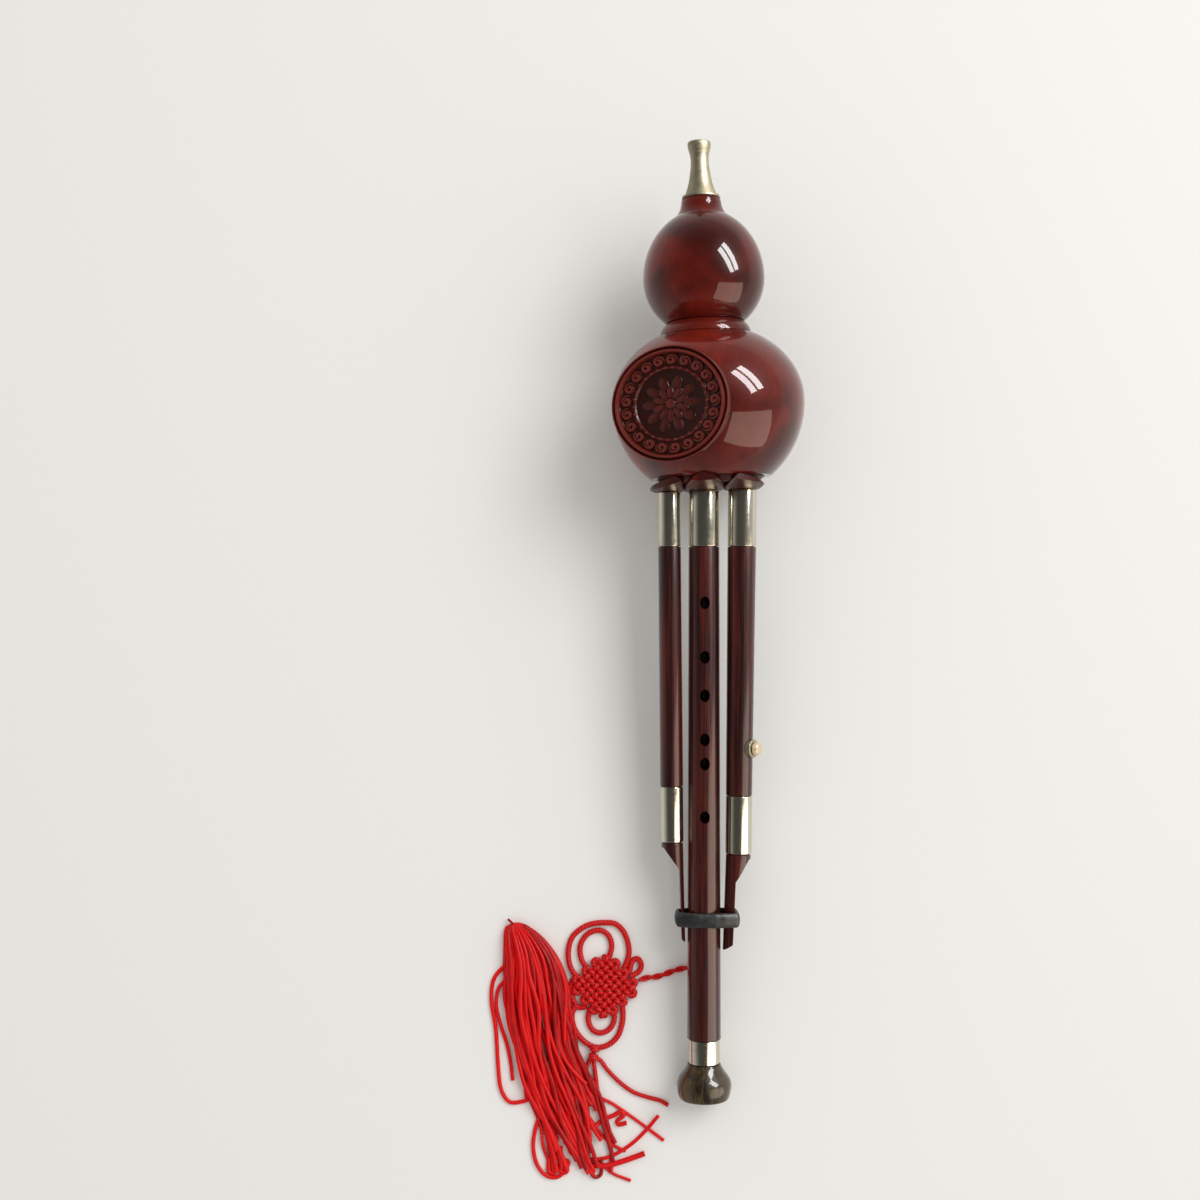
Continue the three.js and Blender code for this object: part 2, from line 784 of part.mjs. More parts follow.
function bottomFerrule() {
  return sleeve(
    bottomFerruleRadius,
    bottomFerruleRadius - ferruleWall,
    bellLength + seatGap,
    mainFootY - seatGap,
    pipeSides,
  );
}

function bell() {
  const tenon = bottomFerruleRadius - ferruleFit;
  const tenonTop = mainFootY - footTenonLength - seatGap;
  const rim = bellMouthRadius + bellRimWidth;
  const flare = bellRadius - bellNeckRadius;
  const boreY = bellBoreShare * bellLength;
  return turned(
    [
      [bellMouthRadius, 0],
      [rim, 0],
      ...bellOutsideShares.map(([out, along]) => [
        bellNeckRadius + out * flare,
        along * bellLength,
      ]),
      [bellNeckRadius, bellLength],
      [tenon, bellLength],
      [tenon, tenonTop],
      [mainBore, tenonTop],
      [mainBore, boreY],
      [(mainBore + bellMouthRadius) / 2, boreY / 2],
      [bellMouthRadius, 0],
    ],
    pipeSides,
  );
}

// Side pipes, in a frame whose origin is on the pipe's axis at the seat

function lowerTenonLength(pipe) {
  return tenonShare * pipe.lowerFerruleLength;
}

function sidePipe(pipe) {
  const foot = -topFerruleLength - pipe.pipeLength;
  const end = foot - lowerTenonLength(pipe);
  const upperTenon = pipe.topRadius - ferruleFit;
  const lowerTenon = pipe.footRadius - ferruleFit;
  return turned(
    [
      [pipe.bore, end],
      [lowerTenon, end],
      [lowerTenon, foot],
      [pipe.footRadius, foot],
      [pipe.topRadius, -topFerruleLength],
      [upperTenon, -topFerruleLength],
      [upperTenon, -topFerruleLength + topTenonLength],
      [pipe.bore, -topFerruleLength + topTenonLength],
      [pipe.bore, end],
    ],
    pipeSides,
  );
}

function lowerFerrule(pipe) {
  const top = -topFerruleLength - pipe.pipeLength - seatGap;
  const foot = top + 2 * seatGap - pipe.lowerFerruleLength;
  return sleeve(pipe.footRadius, pipe.footRadius - ferruleWall, foot, top, pipeSides);
}

function mainRadiusAt(y) {
  return mainFootRadius + ((mainTopRadius - mainFootRadius) * (y - mainFootY)) / mainPipeLength;
}

function tailDepth(pipe) {
  return topFerruleLength + pipe.pipeLength + pipe.lowerFerruleLength;
}

// The turn that brings a tail's tip up to the main pipe.
function tailLean(pipe) {
  const rootX = pipe.offset + tailDepth(pipe) * Math.sin(pipe.lean);
  const mainRadius = mainRadiusAt(seatY - tailDepth(pipe) - pipe.tailLength);
  const tipRadius = pipe.footRadius - tailInset - tailTaper;
  const tipX = pipe.side * (mainRadius + tailGap + tipRadius);
  return Math.asin((tipX - rootX) / pipe.tailLength) - pipe.lean;
}

// A rod whose outer side is scooped away below the ferrule, in a frame at the ferrule's foot.
// It leans in towards the main pipe, while the tenon above it is in line with its own pipe.
function sideTail(pipe) {
  const radius = pipe.footRadius - tailInset;
  const tenon = pipe.footRadius - ferruleFit;
  const rod = turned(
    [
      [0, -pipe.tailLength],
      [radius - tailTaper, -pipe.tailLength],
      [radius, -seatGap],
      [0, -seatGap],
    ],
    pipeSides,
  );
  const tenonLength = lowerTenonLength(pipe);
  const plug = disc(tenon, -2 * seatGap, tenonLength, pipeSides);
  const bore = disc(pipe.bore, -scoopLength, tenonLength + overrun, pipeSides);
  const inner = pipe.stripThickness - radius;
  const outer = radius + overrun;
  const scoop = new THREE.Shape();
  const [shoulder, drop] = [scoopShoulderShares[0] * radius, scoopShoulderShares[1] * scoopLength];
  const [bend, bendDrop] = [scoopBendShares[0] * radius, scoopBendShares[1] * scoopLength];
  scoop.moveTo(outer, -scoopStartShare * scoopLength);
  scoop.lineTo(shoulder, -drop);
  scoop.quadraticCurveTo(inner + bend, -bendDrop, inner, -scoopEndShare * scoopLength);
  scoop.lineTo(inner, tailTipRise - pipe.tailLength);
  scoop.lineTo(-outer, -pipe.tailLength - overrun);
  scoop.lineTo(outer, -pipe.tailLength - overrun);
  const depth = 2 * outer;
  const curveSegments = outerArcSteps;
  const block = new THREE.ExtrudeGeometry(scoop, { depth, bevelEnabled: false, curveSegments });
  block.translate(0, 0, -outer);
  if (pipe.side < 0) block.rotateY(Math.PI);
  const strip = cut(rod, block).rotateZ(tailLean(pipe));
  return cut(join(strip, plug), bore);
}

// Drone stopper, in a frame whose Y runs out of the drone pipe

const stopperPipeRadius =
  drone.topRadius + (drone.footRadius - drone.topRadius) * stopperShare;
const stopperMatrix = new THREE.Matrix4()
  .makeTranslation(0, -topFerruleLength - stopperShare * drone.pipeLength, 0)
  .multiply(new THREE.Matrix4().makeRotationY(stopperTurn))
  .multiply(new THREE.Matrix4().makeRotationX(Math.PI / 2));

function dronePipe() {
  const reach = stopperPipeRadius + overrun;
  const hole = disc(bushSleeveRadius + seatGap, 0, reach, smallSides);
  return cut(sidePipe(drone), hole.applyMatrix4(stopperMatrix));
}

function stopperBush() {
  const top = stopperPipeRadius + bushRise;
  const flange = disc(bushRadius, drone.bore, top, pipeSides);
  const reach = 2 * bushRadius;
  const saddle = disc(stopperPipeRadius + seatGap, -reach, reach, pipeSides).rotateX(Math.PI / 2);
  const stem = disc(bushSleeveRadius, drone.bore + seatGap, top, smallSides);
  const bore = disc(bushBore, 0, top + overrun, smallSides);
  return cut(join(cut(flange, saddle), stem), bore);
}

function droneStopper() {
  const foot = stopperPipeRadius + bushRise + seatGap;
  const knob = stopperKnobShares.map(([out, along]) => [
    out * stopperKnobRadius,
    foot + along * stopperKnobHeight,
  ]);
  const stem = [
    [0, drone.bore],
    [stopperStemRadius, drone.bore],
    [stopperStemRadius, foot],
  ];
  return turned([...stem, ...knob], smallSides);
}

// Rubber ring: an outline drawn tight round the main pipe and the two tail strips

function hull(rounds, offset) {
  return Array.from({ length: hullSteps }, (_, i) => {
    const angle = (i * 2 * Math.PI) / hullSteps;
    const way = new THREE.Vector2(Math.cos(angle), Math.sin(angle));
    const reach = ({ centre, radius }) => centre.dot(way) + radius;
    const furthest = rounds.reduce((best, next) => (reach(next) > reach(best) ? next : best));
    return furthest.centre.clone().addScaledVector(way, furthest.radius + offset);
  });
}

function ringPath(points) {
  return points.filter((p, i) => i === 0 || p.distanceTo(points[i - 1]) > shortestEdge);
}

function stripCorners(pipe, matrix, y) {
  const radius = pipe.footRadius - tailInset;
  const inner = pipe.stripThickness - radius;
  const half = Math.sqrt(radius ** 2 - inner ** 2);
  const lean = new THREE.Matrix4().makeRotationZ(tailLean(pipe)).premultiply(matrix);
  const near = new THREE.Vector3(pipe.side * inner, 0, half).applyMatrix4(lean);
  const far = new THREE.Vector3(pipe.side * inner, -pipe.tailLength, half).applyMatrix4(lean);
  const at = near.clone().lerp(far, (near.y - y) / (near.y - far.y));
  return [half, -half].map((z) => ({ centre: new THREE.Vector2(at.x, z), radius: 0 }));
}

function rubberRing(tails) {
  const tips = tails.map(({ pipe }) => seatY - tailDepth(pipe) - pipe.tailLength);
  const y = Math.max(...tips) + rubberRingRise;
  const rounds = [
    { centre: new THREE.Vector2(0, 0), radius: mainRadiusAt(y) },
    ...tails.flatMap(({ pipe, matrix }) => stripCorners(pipe, matrix, y)),
  ];
  const inner = 2 * seatGap;
  const bevel = rubberBevelShare * rubberWall;
  const band = new THREE.Shape(ringPath(hull(rounds, inner + rubberWall - bevel)));
  band.holes.push(new THREE.Path(ringPath(hull(rounds, inner))));
  const made = new THREE.ExtrudeGeometry(band, {
    depth: rubberRingHeight - 2 * bevel,
    bevelThickness: bevel,
    bevelSize: bevel,
    bevelSegments: 1,
  });
  return made.rotateX(-Math.PI / 2).translate(0, y - rubberRingHeight / 2 + bevel, 0);
}

// Cord, knot and tassel

function wovenKnot() {
  const low = floorGap + knotCordRadius;
  const pitch = knotSide / knotWeave;
  const bars = Array.from({ length: 2 * knotWeave }, (_, i) => {
    const place = ((i % knotWeave) + 0.5) * pitch - knotSide / 2;
    const across = i < knotWeave;
    const height = across ? low : low + knotLayerRise;
    const bar = disc(knotCordRadius, -knotSide / 2, knotSide / 2, loopSides);
    if (across) bar.rotateZ(Math.PI / 2);
    return bar.translate(across ? 0 : place, across ? place : 0, height);
  });
  const core = new THREE.BoxGeometry(knotSide - pitch, knotSide - pitch, knotCordRadius);
  core.translate(0, 0, low + knotLayerRise / 2);
  const pad = join(core, ...bars).rotateZ(knotTurn);
  const loops = knotLoopShares.map(({ centre, radii }) =>
    ellipseLoop(
      centre.map((share) => share * knotSide),
      radii.map((share) => share * knotSide),
      low + knotLoopRiseShare * knotLayerRise,
      loopCordRadius,
    ),
  );
  return join(pad, ...loops).translate(knotCentre[0], knotCentre[1], 0);
}

function tasselLink() {
  const cordRun = tubeAlong(linkPoints, linkCordRadius, loopSides, linkPoints.length * 2);
  const curve = new THREE.CatmullRomCurve3(linkPoints.map((p) => new THREE.Vector3(...p)));
  const knots = linkKnotShares.map((share) => {
    const at = curve.getPointAt(share);
    const ball = new THREE.SphereGeometry(linkKnotRadius, ringSides, ringSides - 2);
    return ball.translate(at.x, at.y, floorGap + linkKnotRadius);
  });
  const looseEnd = tubeAlong(looseEndPoints, looseEndRadius, loopSides, looseEndPoints.length * 2);
  return join(cordRun, looseEnd, ...knots);
}

// One cross section of the tassel: ridged over the top, flat on the floor.
function tasselSection([along, aside, half, height]) {
  const points = [];
  const steps = 2 * tasselRidges;
  for (let i = 0; i <= steps; i++) {
    const angle = (i * Math.PI) / steps;
    const ridge = i % 2 ? 1 - tasselRidgeShare : 1;
    points.push([Math.cos(angle) * ridge, Math.sin(angle) * ridge]);
  }
  for (let i = 1; i < tasselRidges; i++) points.push([(2 * i) / tasselRidges - 1, 0]);
  return points.map(([x, z]) => [
    tasselPlace[0] + tasselWidth * (aside + half * x),
    tasselPlace[1] - tasselLength * along,
    floorGap + tasselHeight * height * z,
  ]);
}

// A closed skin over rings of as many points each, with a fan at each end.
function lofted(rings) {
  const count = rings[0].length;
  const positions = rings.flat(2);
  const middle = (ring) => [0, 1, 2].map((k) => ring.reduce((sum, p) => sum + p[k], 0) / count);
  positions.push(...middle(rings[0]), ...middle(rings.at(-1)));
  const [start, end] = [rings.length * count, rings.length * count + 1];
  const index = [];
  rings.forEach((_, r) => {
    for (let i = 0; i < count; i++) {
      const j = (i + 1) % count;
      if (r === 0) index.push(start, j, i);
      if (r === rings.length - 1) index.push(end, r * count + i, r * count + j);
      else {
        const [a, b, c, d] = [r * count + i, r * count + j, (r + 1) * count + j, (r + 1) * count + i];
        index.push(a, b, c, a, c, d);
      }
    }
  });
  const geometry = new THREE.BufferGeometry();
  geometry.setAttribute("position", new THREE.Float32BufferAttribute(positions, 3));
  geometry.setIndex(index);
  return geometry;
}

function tasselHead() {
  const end = tasselHeadEndShare - seatGap / tasselLength;
  const last = tasselStationShares.findIndex(([along]) => along >= tasselHeadEndShare);
  const rows = tasselStationShares.slice(0, last + 1).map((row) => [...row]);
  rows[last][0] = end;
  return lofted(rows.map(tasselSection));
}

function tasselSkirt() {
  const first = tasselStationShares.findIndex(([along]) => along >= tasselHeadEndShare);
  const body = lofted(tasselStationShares.slice(first).map(tasselSection));
  const locks = lockShares.map((points) =>
    tubeAlong(
      points.map(([along, aside]) => [
        tasselPlace[0] + tasselWidth * aside,
        tasselPlace[1] - tasselLength * along,
        floorGap + lockRadius,
      ]),
      lockRadius,
      lockSides,
      lockSteps,
    ),
  );
  return join(body, ...locks);
}

// Assembly

const instrument = new THREE.Group();
const gourd = new THREE.Group();
gourd.position.set(gourdOffset, seatY, 0);
gourd.rotation.z = gourdLean;
gourd.updateMatrix();
const gourdFrame = gourd.matrix.clone().multiply(new THREE.Matrix4().makeTranslation(0, -seatY, 0));

function pipeGroup(offset, lean) {
  const group = new THREE.Group();
  group.position.set(offset, seatY, 0);
  group.rotation.z = lean;
  group.updateMatrix();
  return group;
}

const mainGroup = pipeGroup(0, 0);
const droneGroup = pipeGroup(drone.offset, drone.lean);
const muteGroup = pipeGroup(mute.offset, mute.lean);

const gourdPieces = [
  mesh("gourd_lower_shell", lowerShell(), lacquer),
  mesh("gourd_upper_shell", upperShell(), lacquer),
  mesh("waist_ring", waistRing(), lacquer),
  mesh("medallion", medallion(), lacquer),
  mesh(
    "pipe_seat",
    pipeSeat(gourdFrame, [
      { matrix: mainGroup.matrix, radius: mainTubeRadius },
      { matrix: droneGroup.matrix, radius: drone.tubeRadius },
      { matrix: muteGroup.matrix, radius: mute.tubeRadius },
    ]),
    lacquer,
  ),
  mesh("mouthpiece", mouthpiece(), paleMetal),
  mesh("mouthpiece_cork", mouthpieceCork(), cork),
];
for (const piece of gourdPieces) piece.position.y = -seatY;
gourd.add(...gourdPieces);

mainGroup.add(
  mesh("main_reed_tube", reedTube(mainTubeRadius, mainTopRadius), brass),
  mesh("main_reed_plate", reedPlate(mainTubeRadius), brass),
  mesh("main_reed_cap", reedCap(mainTubeRadius), brass),
  mesh("main_seal_ring", tubeSeal(mainTubeRadius, mainTopRadius), blackRubber),
  mesh("main_ferrule_top", topFerrule(0, mainTopRadius), nickel),
);

droneGroup.add(
  mesh("drone_reed_tube", reedTube(drone.tubeRadius, drone.topRadius), brass),
  mesh("drone_reed_plate", reedPlate(drone.tubeRadius), brass),
  mesh("drone_reed_cap", reedCap(drone.tubeRadius), brass),
  mesh("drone_seal_ring", tubeSeal(drone.tubeRadius, drone.topRadius), blackRubber),
  mesh("drone_ferrule_top", topFerrule(drone.offset, drone.topRadius), nickel),
  mesh("drone_pipe", dronePipe(), darkWood),
  mesh("drone_ferrule_lower", lowerFerrule(drone), nickel),
);
const stopperPieces = [
  mesh("stopper_bush", stopperBush(), paleMetal),
  mesh("drone_stopper", droneStopper(), ivory),
];
for (const piece of stopperPieces) piece.applyMatrix4(stopperMatrix);
droneGroup.add(...stopperPieces);

const dowelRise = seatHeight + gourdWall + seatPlugRise;
muteGroup.add(
  mesh("mute_dowel", disc(mute.tubeRadius, -topTenonLength, dowelRise, pipeSides), darkWood),
  mesh("mute_ferrule_top", topFerrule(mute.offset, mute.topRadius), nickel),
  mesh("mute_pipe", sidePipe(mute), darkWood),
  mesh("mute_ferrule_lower", lowerFerrule(mute), nickel),
);

const tails = [
  { pipe: drone, group: droneGroup, name: "drone_tail" },
  { pipe: mute, group: muteGroup, name: "mute_tail" },
].map(({ pipe, group, name }) => {
  const tail = mesh(name, sideTail(pipe), darkWood);
  tail.position.y = -tailDepth(pipe);
  tail.updateMatrix();
  group.add(tail);
  return { pipe, matrix: group.matrix.clone().multiply(tail.matrix) };
});

instrument.add(
  gourd,
  mainGroup,
  droneGroup,
  muteGroup,
  mesh("main_pipe", mainPipe(), darkWood),
  mesh("main_ferrule_bottom", bottomFerrule(), nickel),
  mesh("bell", bell(), horn),
  mesh("rubber_ring", rubberRing(tails), blackRubber),
);
instrument.rotation.x = restTilt;

const hulusi = new THREE.Group();
hulusi.add(instrument);
const standing = new THREE.Box3().setFromObject(instrument, true);
const middle = standing.getCenter(new THREE.Vector3());
instrument.position.z = -standing.min.z;
hulusi.add(
  mesh("tassel_cord", tubeAlong(cordPoints, cordDiameter / 2, cordSides, cordSteps), redCord),
  mesh("chinese_knot", wovenKnot(), redCord),
  mesh("tassel_link", tasselLink(), redCord),
  mesh("tassel_head", tasselHead(), redCord),
  mesh("tassel_skirt", tasselSkirt(), redCord),
);

// The origin is on the floor under the middle of the instrument, without its cord and tassel.
hulusi.position.set(-middle.x, -middle.y, 0);

export default hulusi;
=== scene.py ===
"""A hulusi, the gourd flute with three pipes, lying on a pale floor with its knot and tassel.

Metres, +Z up, +Y along the instrument towards the mouthpiece. Each piece is built in a place of
its own, whose Y is the piece's axis, and is then set into the frame.
"""

import json
import math
import random

import bmesh
import bpy
from bpy.props import FloatProperty, FloatVectorProperty, IntProperty, PointerProperty
from mathutils import Matrix, Vector


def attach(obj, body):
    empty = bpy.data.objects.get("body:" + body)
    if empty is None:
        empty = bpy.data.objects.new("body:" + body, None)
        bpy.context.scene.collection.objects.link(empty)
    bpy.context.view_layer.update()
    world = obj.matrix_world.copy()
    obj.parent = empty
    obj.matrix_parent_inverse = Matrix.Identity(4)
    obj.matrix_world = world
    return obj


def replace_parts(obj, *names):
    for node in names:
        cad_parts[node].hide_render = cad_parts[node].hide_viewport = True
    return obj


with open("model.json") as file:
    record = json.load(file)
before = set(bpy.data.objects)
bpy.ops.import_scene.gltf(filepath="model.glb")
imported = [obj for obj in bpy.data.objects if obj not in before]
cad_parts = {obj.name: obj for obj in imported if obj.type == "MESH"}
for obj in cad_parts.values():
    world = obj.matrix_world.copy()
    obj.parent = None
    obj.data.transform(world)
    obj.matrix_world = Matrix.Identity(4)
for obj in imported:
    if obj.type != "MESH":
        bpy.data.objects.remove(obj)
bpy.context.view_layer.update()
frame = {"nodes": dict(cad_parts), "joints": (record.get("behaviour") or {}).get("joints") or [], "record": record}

bl_info = {
    "name": "Hulusi",
    "version": (1, 0, 0),
    "blender": (4, 5, 0),
    "location": "3D View > Sidebar > Hulusi",
    "description": "Dresses a gourd flute with its lacquer, metal, wood and red tassel",
    "category": "Object",
}

MM = 0.001
PX = 0.45 * MM  # what one pixel of the photograph spans on the instrument
GAP = 0.3 * MM  # between pieces that touch

# Places in the photograph
IMAGE_MIDDLE_PX = 600
PIPE_LINE_PX = 704
BELL_END_PX = 1098

# How finely the round pieces are drawn
FINE_SIDES = 160
PIPE_SIDES = 96
SMALL_SIDES = 48
ARC_STEPS = 36
FILLET_STEPS = 5
CREASE = math.radians(34)
WELD = 0.002 * MM  # within which points are one


def srgb(red, green, blue):
    """A colour from 0 to 255 a channel, as a linear colour."""
    shares = [part / 255 for part in (red, green, blue)]
    return tuple(((s + 0.055) / 1.055) ** 2.4 if s > 0.04045 else s / 12.92 for s in shares) + (1.0,)


def scaled(colour, share, lift=0):
    """A linear colour times a share, plus a lift."""
    return tuple(min(1, part * share + lift) for part in colour[:3]) + (1.0,)


def length_property(name, description, default):
    """A length in metres."""
    return FloatProperty(name=name, description=description, default=default, unit="LENGTH")


def colour_property(name, description, default):
    """A linear colour."""
    return FloatVectorProperty(
        name=name, description=description, default=default, size=4, min=0, max=1, subtype="COLOR"
    )


class StageSettings(bpy.types.PropertyGroup):
    """The camera, the floor and the light."""

    camera_height: length_property("Camera height", "Of the camera above the pipes", 0.765)
    view_width: length_property("View width", "That the camera sees at the pipes", 0.54)
    floor_colour: colour_property("Floor", "Colour of the floor", srgb(238, 237, 234))
    window_light: FloatProperty(name="Window", description="Radiance of its panes", default=34)
    card_light: FloatProperty(name="Card", description="Radiance of the warm card", default=4.2)
    key_light: FloatProperty(name="Key", description="Radiance of the soft key light", default=4.3)
    world_light: FloatProperty(name="Room", description="Radiance of the room", default=0.66)


class GourdSettings(bpy.types.PropertyGroup):
    """The two bulbs, the medallion and the seat of the pipes."""

    wall: length_property("Wall", "Thickness of the gourd", 3 * MM)
    neck_foot: length_property("Neck foot", "Radius where the neck leaves the bulb", 11.7 * MM)
    collar_bulge: length_property("Collar bulge", "Of the collar beyond its cone", 0.8 * MM)
    medallion_turn: FloatProperty(
        name="Medallion turn",
        description="From the front to the left",
        default=math.radians(30.4),
        subtype="ANGLE",
    )
    medallion_width: length_property("Medallion width", "Across the gourd", 57 * MM)
    medallion_height: length_property("Medallion height", "Along the gourd", 50.2 * MM)
    curl_count: IntProperty(name="Curls", description="In the carved ring", default=21)
    petal_count: IntProperty(name="Petals", description="In each ring of the flower", default=10)


class PipeSettings(bpy.types.PropertyGroup):
    """The pipes and what is on them."""

    hole_width: length_property("Hole width", "Of a finger hole", 4.2 * MM)
    hole_length: length_property("Hole length", "Of a finger hole", 5.4 * MM)
    hole_dish: length_property("Hole dish", "Width of a hole's softened edge", 0.8 * MM)
    cord_hole: length_property("Cord hole", "Width of the holes for the cord", 3.4 * MM)
    band_bulge: length_property("Band bulge", "Of the rubber band's round side", 1.5 * MM)


class TasselSettings(bpy.types.PropertyGroup):
    """The red cord, its knot and the tassel."""

    cord_diameter: length_property("Cord", "Width of the doubled cord", 2.7 * MM)
    cord_lay: length_property("Lay", "Length of one turn of the cord's strands", 11 * MM)
    knot_side: length_property("Knot side", "Of the woven diamond", 20.5 * MM)
    knot_rows: IntProperty(name="Knot rows", description="Runs of cord each way", default=7)
    knot_cord: length_property("Knot cord", "Diameter of the knot's cord", 2.5 * MM)
    strand_count: IntProperty(name="Strands", description="In the tassel", default=66)
    strand_diameter: length_property("Strand", "Diameter of a strand", 1.85 * MM)
    seed: IntProperty(name="Seed", description="Of the strands' scatter", default=8)


class FinishSettings(bpy.types.PropertyGroup):
    """The colours of the finishes."""

    lacquer: colour_property("Lacquer", "Middle colour of the gourd", srgb(99, 25, 16))
    lacquer_dark: colour_property("Dark lacquer", "Its darker patches", srgb(62, 16, 11))
    lacquer_bright: colour_property("Bright lacquer", "Its brighter patches", srgb(124, 33, 20))
    carving: colour_property("Carving", "Raised parts of the carving", srgb(108, 38, 30))
    carving_dark: colour_property("Dark carving", "Its hollows", srgb(46, 14, 10))
    pipe: colour_property("Pipe wood", "Middle colour of the pipes", srgb(80, 24, 16))
    pipe_dark: colour_property("Dark grain", "Darker grain of the pipes", srgb(34, 10, 10))
    nickel: colour_property("Nickel", "Of the ferrules", srgb(203, 198, 182))
    mouth_metal: colour_property("Mouthpiece", "Of the blowing tube", srgb(156, 149, 126))
    brass: colour_property("Brass", "Of the reeds", srgb(196, 158, 84))
    horn: colour_property("Horn", "Middle colour of the bell", srgb(74, 58, 33))
    horn_dark: colour_property("Dark horn", "Streaks of the bell", srgb(33, 26, 16))
    ivory: colour_property("Ivory", "Of the stopper", srgb(222, 201, 164))
    rubber: colour_property("Rubber", "Of the band and seals", srgb(30, 34, 34))
    cork: colour_property("Cork", "Of the mouthpiece's seal", srgb(190, 148, 100))
    red: colour_property("Red cord", "Of the cord and tassel", srgb(222, 11, 15))
    # Dark red cord: the colour of the painted shade in the grooves of the cord's twist, and of the tassel's darker
    # strands
    red_dark: colour_property("Dark red cord", "Between its strands", srgb(146, 3, 7))


SETTINGS = {
    "hulusi_stage": StageSettings,
    "hulusi_gourd": GourdSettings,
    "hulusi_pipes": PipeSettings,
    "hulusi_tassel": TasselSettings,
    "hulusi_finish": FinishSettings,
}


def settings(name):
    """The scene's settings of that group."""
    return getattr(bpy.context.scene, "hulusi_" + name)


# Places of the pieces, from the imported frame


class Place:
    """A frame on a piece: Y along its axis, Z to its front, X to its right."""

    def __init__(self, matrix):
        self.matrix = matrix

    @classmethod
    def on(cls, axis, through, front=Vector((0, 0, 1))):
        """The place with that axis and that front, through a point."""
        y = axis.normalized()
        x = y.cross(front).normalized()
        return cls(Matrix.Translation(through) @ Matrix((x, y, x.cross(y))).transposed().to_4x4())

    def moved(self, x=0, y=0, z=0):
        """The place that far along its own axes."""
        return Place(self.matrix @ Matrix.Translation((x, y, z)))

    def turned(self, angle, axis="Y"):
        """The place turned round one of its own axes."""
        return Place(self.matrix @ Matrix.Rotation(angle, 4, axis))

    def seen_from(self, other):
        """The matrix that carries what is built here into another place."""
        return other.matrix.inverted() @ self.matrix

    def points(self, node):
        """A node's corners in this place, three to a triangle."""
        inverse = self.matrix.inverted()
        mesh = frame["nodes"][node].data
        corners = [inverse @ vertex.co for vertex in mesh.vertices]
        return [[corners[i] for i in polygon.vertices] for polygon in mesh.polygons]

    def reach(self, node):
        """A node's lowest and highest corner in this place."""
        corners = [corner for face in self.points(node) for corner in face]
        low = Vector(min(c[k] for c in corners) for k in range(3))
        high = Vector(max(c[k] for c in corners) for k in range(3))
        return low, high

    def section(self, node, y):
        """Where a node's faces cross the plane at that height, as (x, z) points."""
        found = []
        for face in self.points(node):
            for a, b in zip(face, face[1:] + face[:1]):
                if (a.y - y) * (b.y - y) < 0:
                    at = a.lerp(b, (y - a.y) / (b.y - a.y))
                    found.append(Vector((at.x, at.z)))
        return found

    def radius(self, node, y):
        """A round node's outer radius at that height."""
        return max(point.length for point in self.section(node, y))

    def bore(self, node, y):
        """A round node's inner radius at that height."""
        return min(point.length for point in self.section(node, y))


def joint_axis(name):
    """The axis of the frame's joint of that name."""
    return Vector(next(joint for joint in frame["joints"] if joint["name"] == name)["axis"])


def middle_of(place, node):
    """The middle of a node's box in a place, in the frame."""
    low, high = place.reach(node)
    return place.matrix @ ((low + high) / 2)


def find_places():
    """The places of the main pipe, the gourd, the two side pipes and the stopper."""
    along = -joint_axis("tuning_slide")
    main = Place.on(along, middle_of(Place.on(along, Vector()), "main_ferrule_bottom"))
    main = main.moved(y=main.reach("bell")[0].y)
    gourd = Place.on(joint_axis("mouthpiece_slide"), middle_of(main, "mouthpiece_cork"))
    made = {"main": main, "gourd": gourd.moved(y=gourd.reach("gourd_lower_shell")[0].y)}
    for side in ("drone", "mute"):
        foot = middle_of(main, side + "_ferrule_lower")
        pipe = Place.on(middle_of(main, side + "_ferrule_top") - foot, foot)
        made[side] = pipe.moved(y=pipe.reach(side + "_pipe")[0].y)
    out = joint_axis("stopper_slide")
    stopper = Place.on(out, middle_of(Place.on(out, Vector(), along), "drone_stopper"), along)
    made["stopper"] = stopper.moved(y=stopper.reach("drone_stopper")[0].y)
    return made


PLACES = find_places()
NODE_BODY = {
    node: body
    for body, nodes in frame["record"]["behaviour"]["bodies"].items()
    for node in nodes
}


# Node trees


class Value:
    """An output socket of a node tree, on which sums add Math nodes."""

    def __init__(self, tree, socket):
        self.tree = tree
        self.socket = socket

    def __add__(self, other):
        return self.tree.math("ADD", self, other)

    def __sub__(self, other):
        return self.tree.math("SUBTRACT", self, other)

    def __rsub__(self, other):
        return self.tree.math("SUBTRACT", other, self)

    def __mul__(self, other):
        return self.tree.math("MULTIPLY", self, other)

    def __truediv__(self, other):
        return self.tree.math("DIVIDE", self, other)


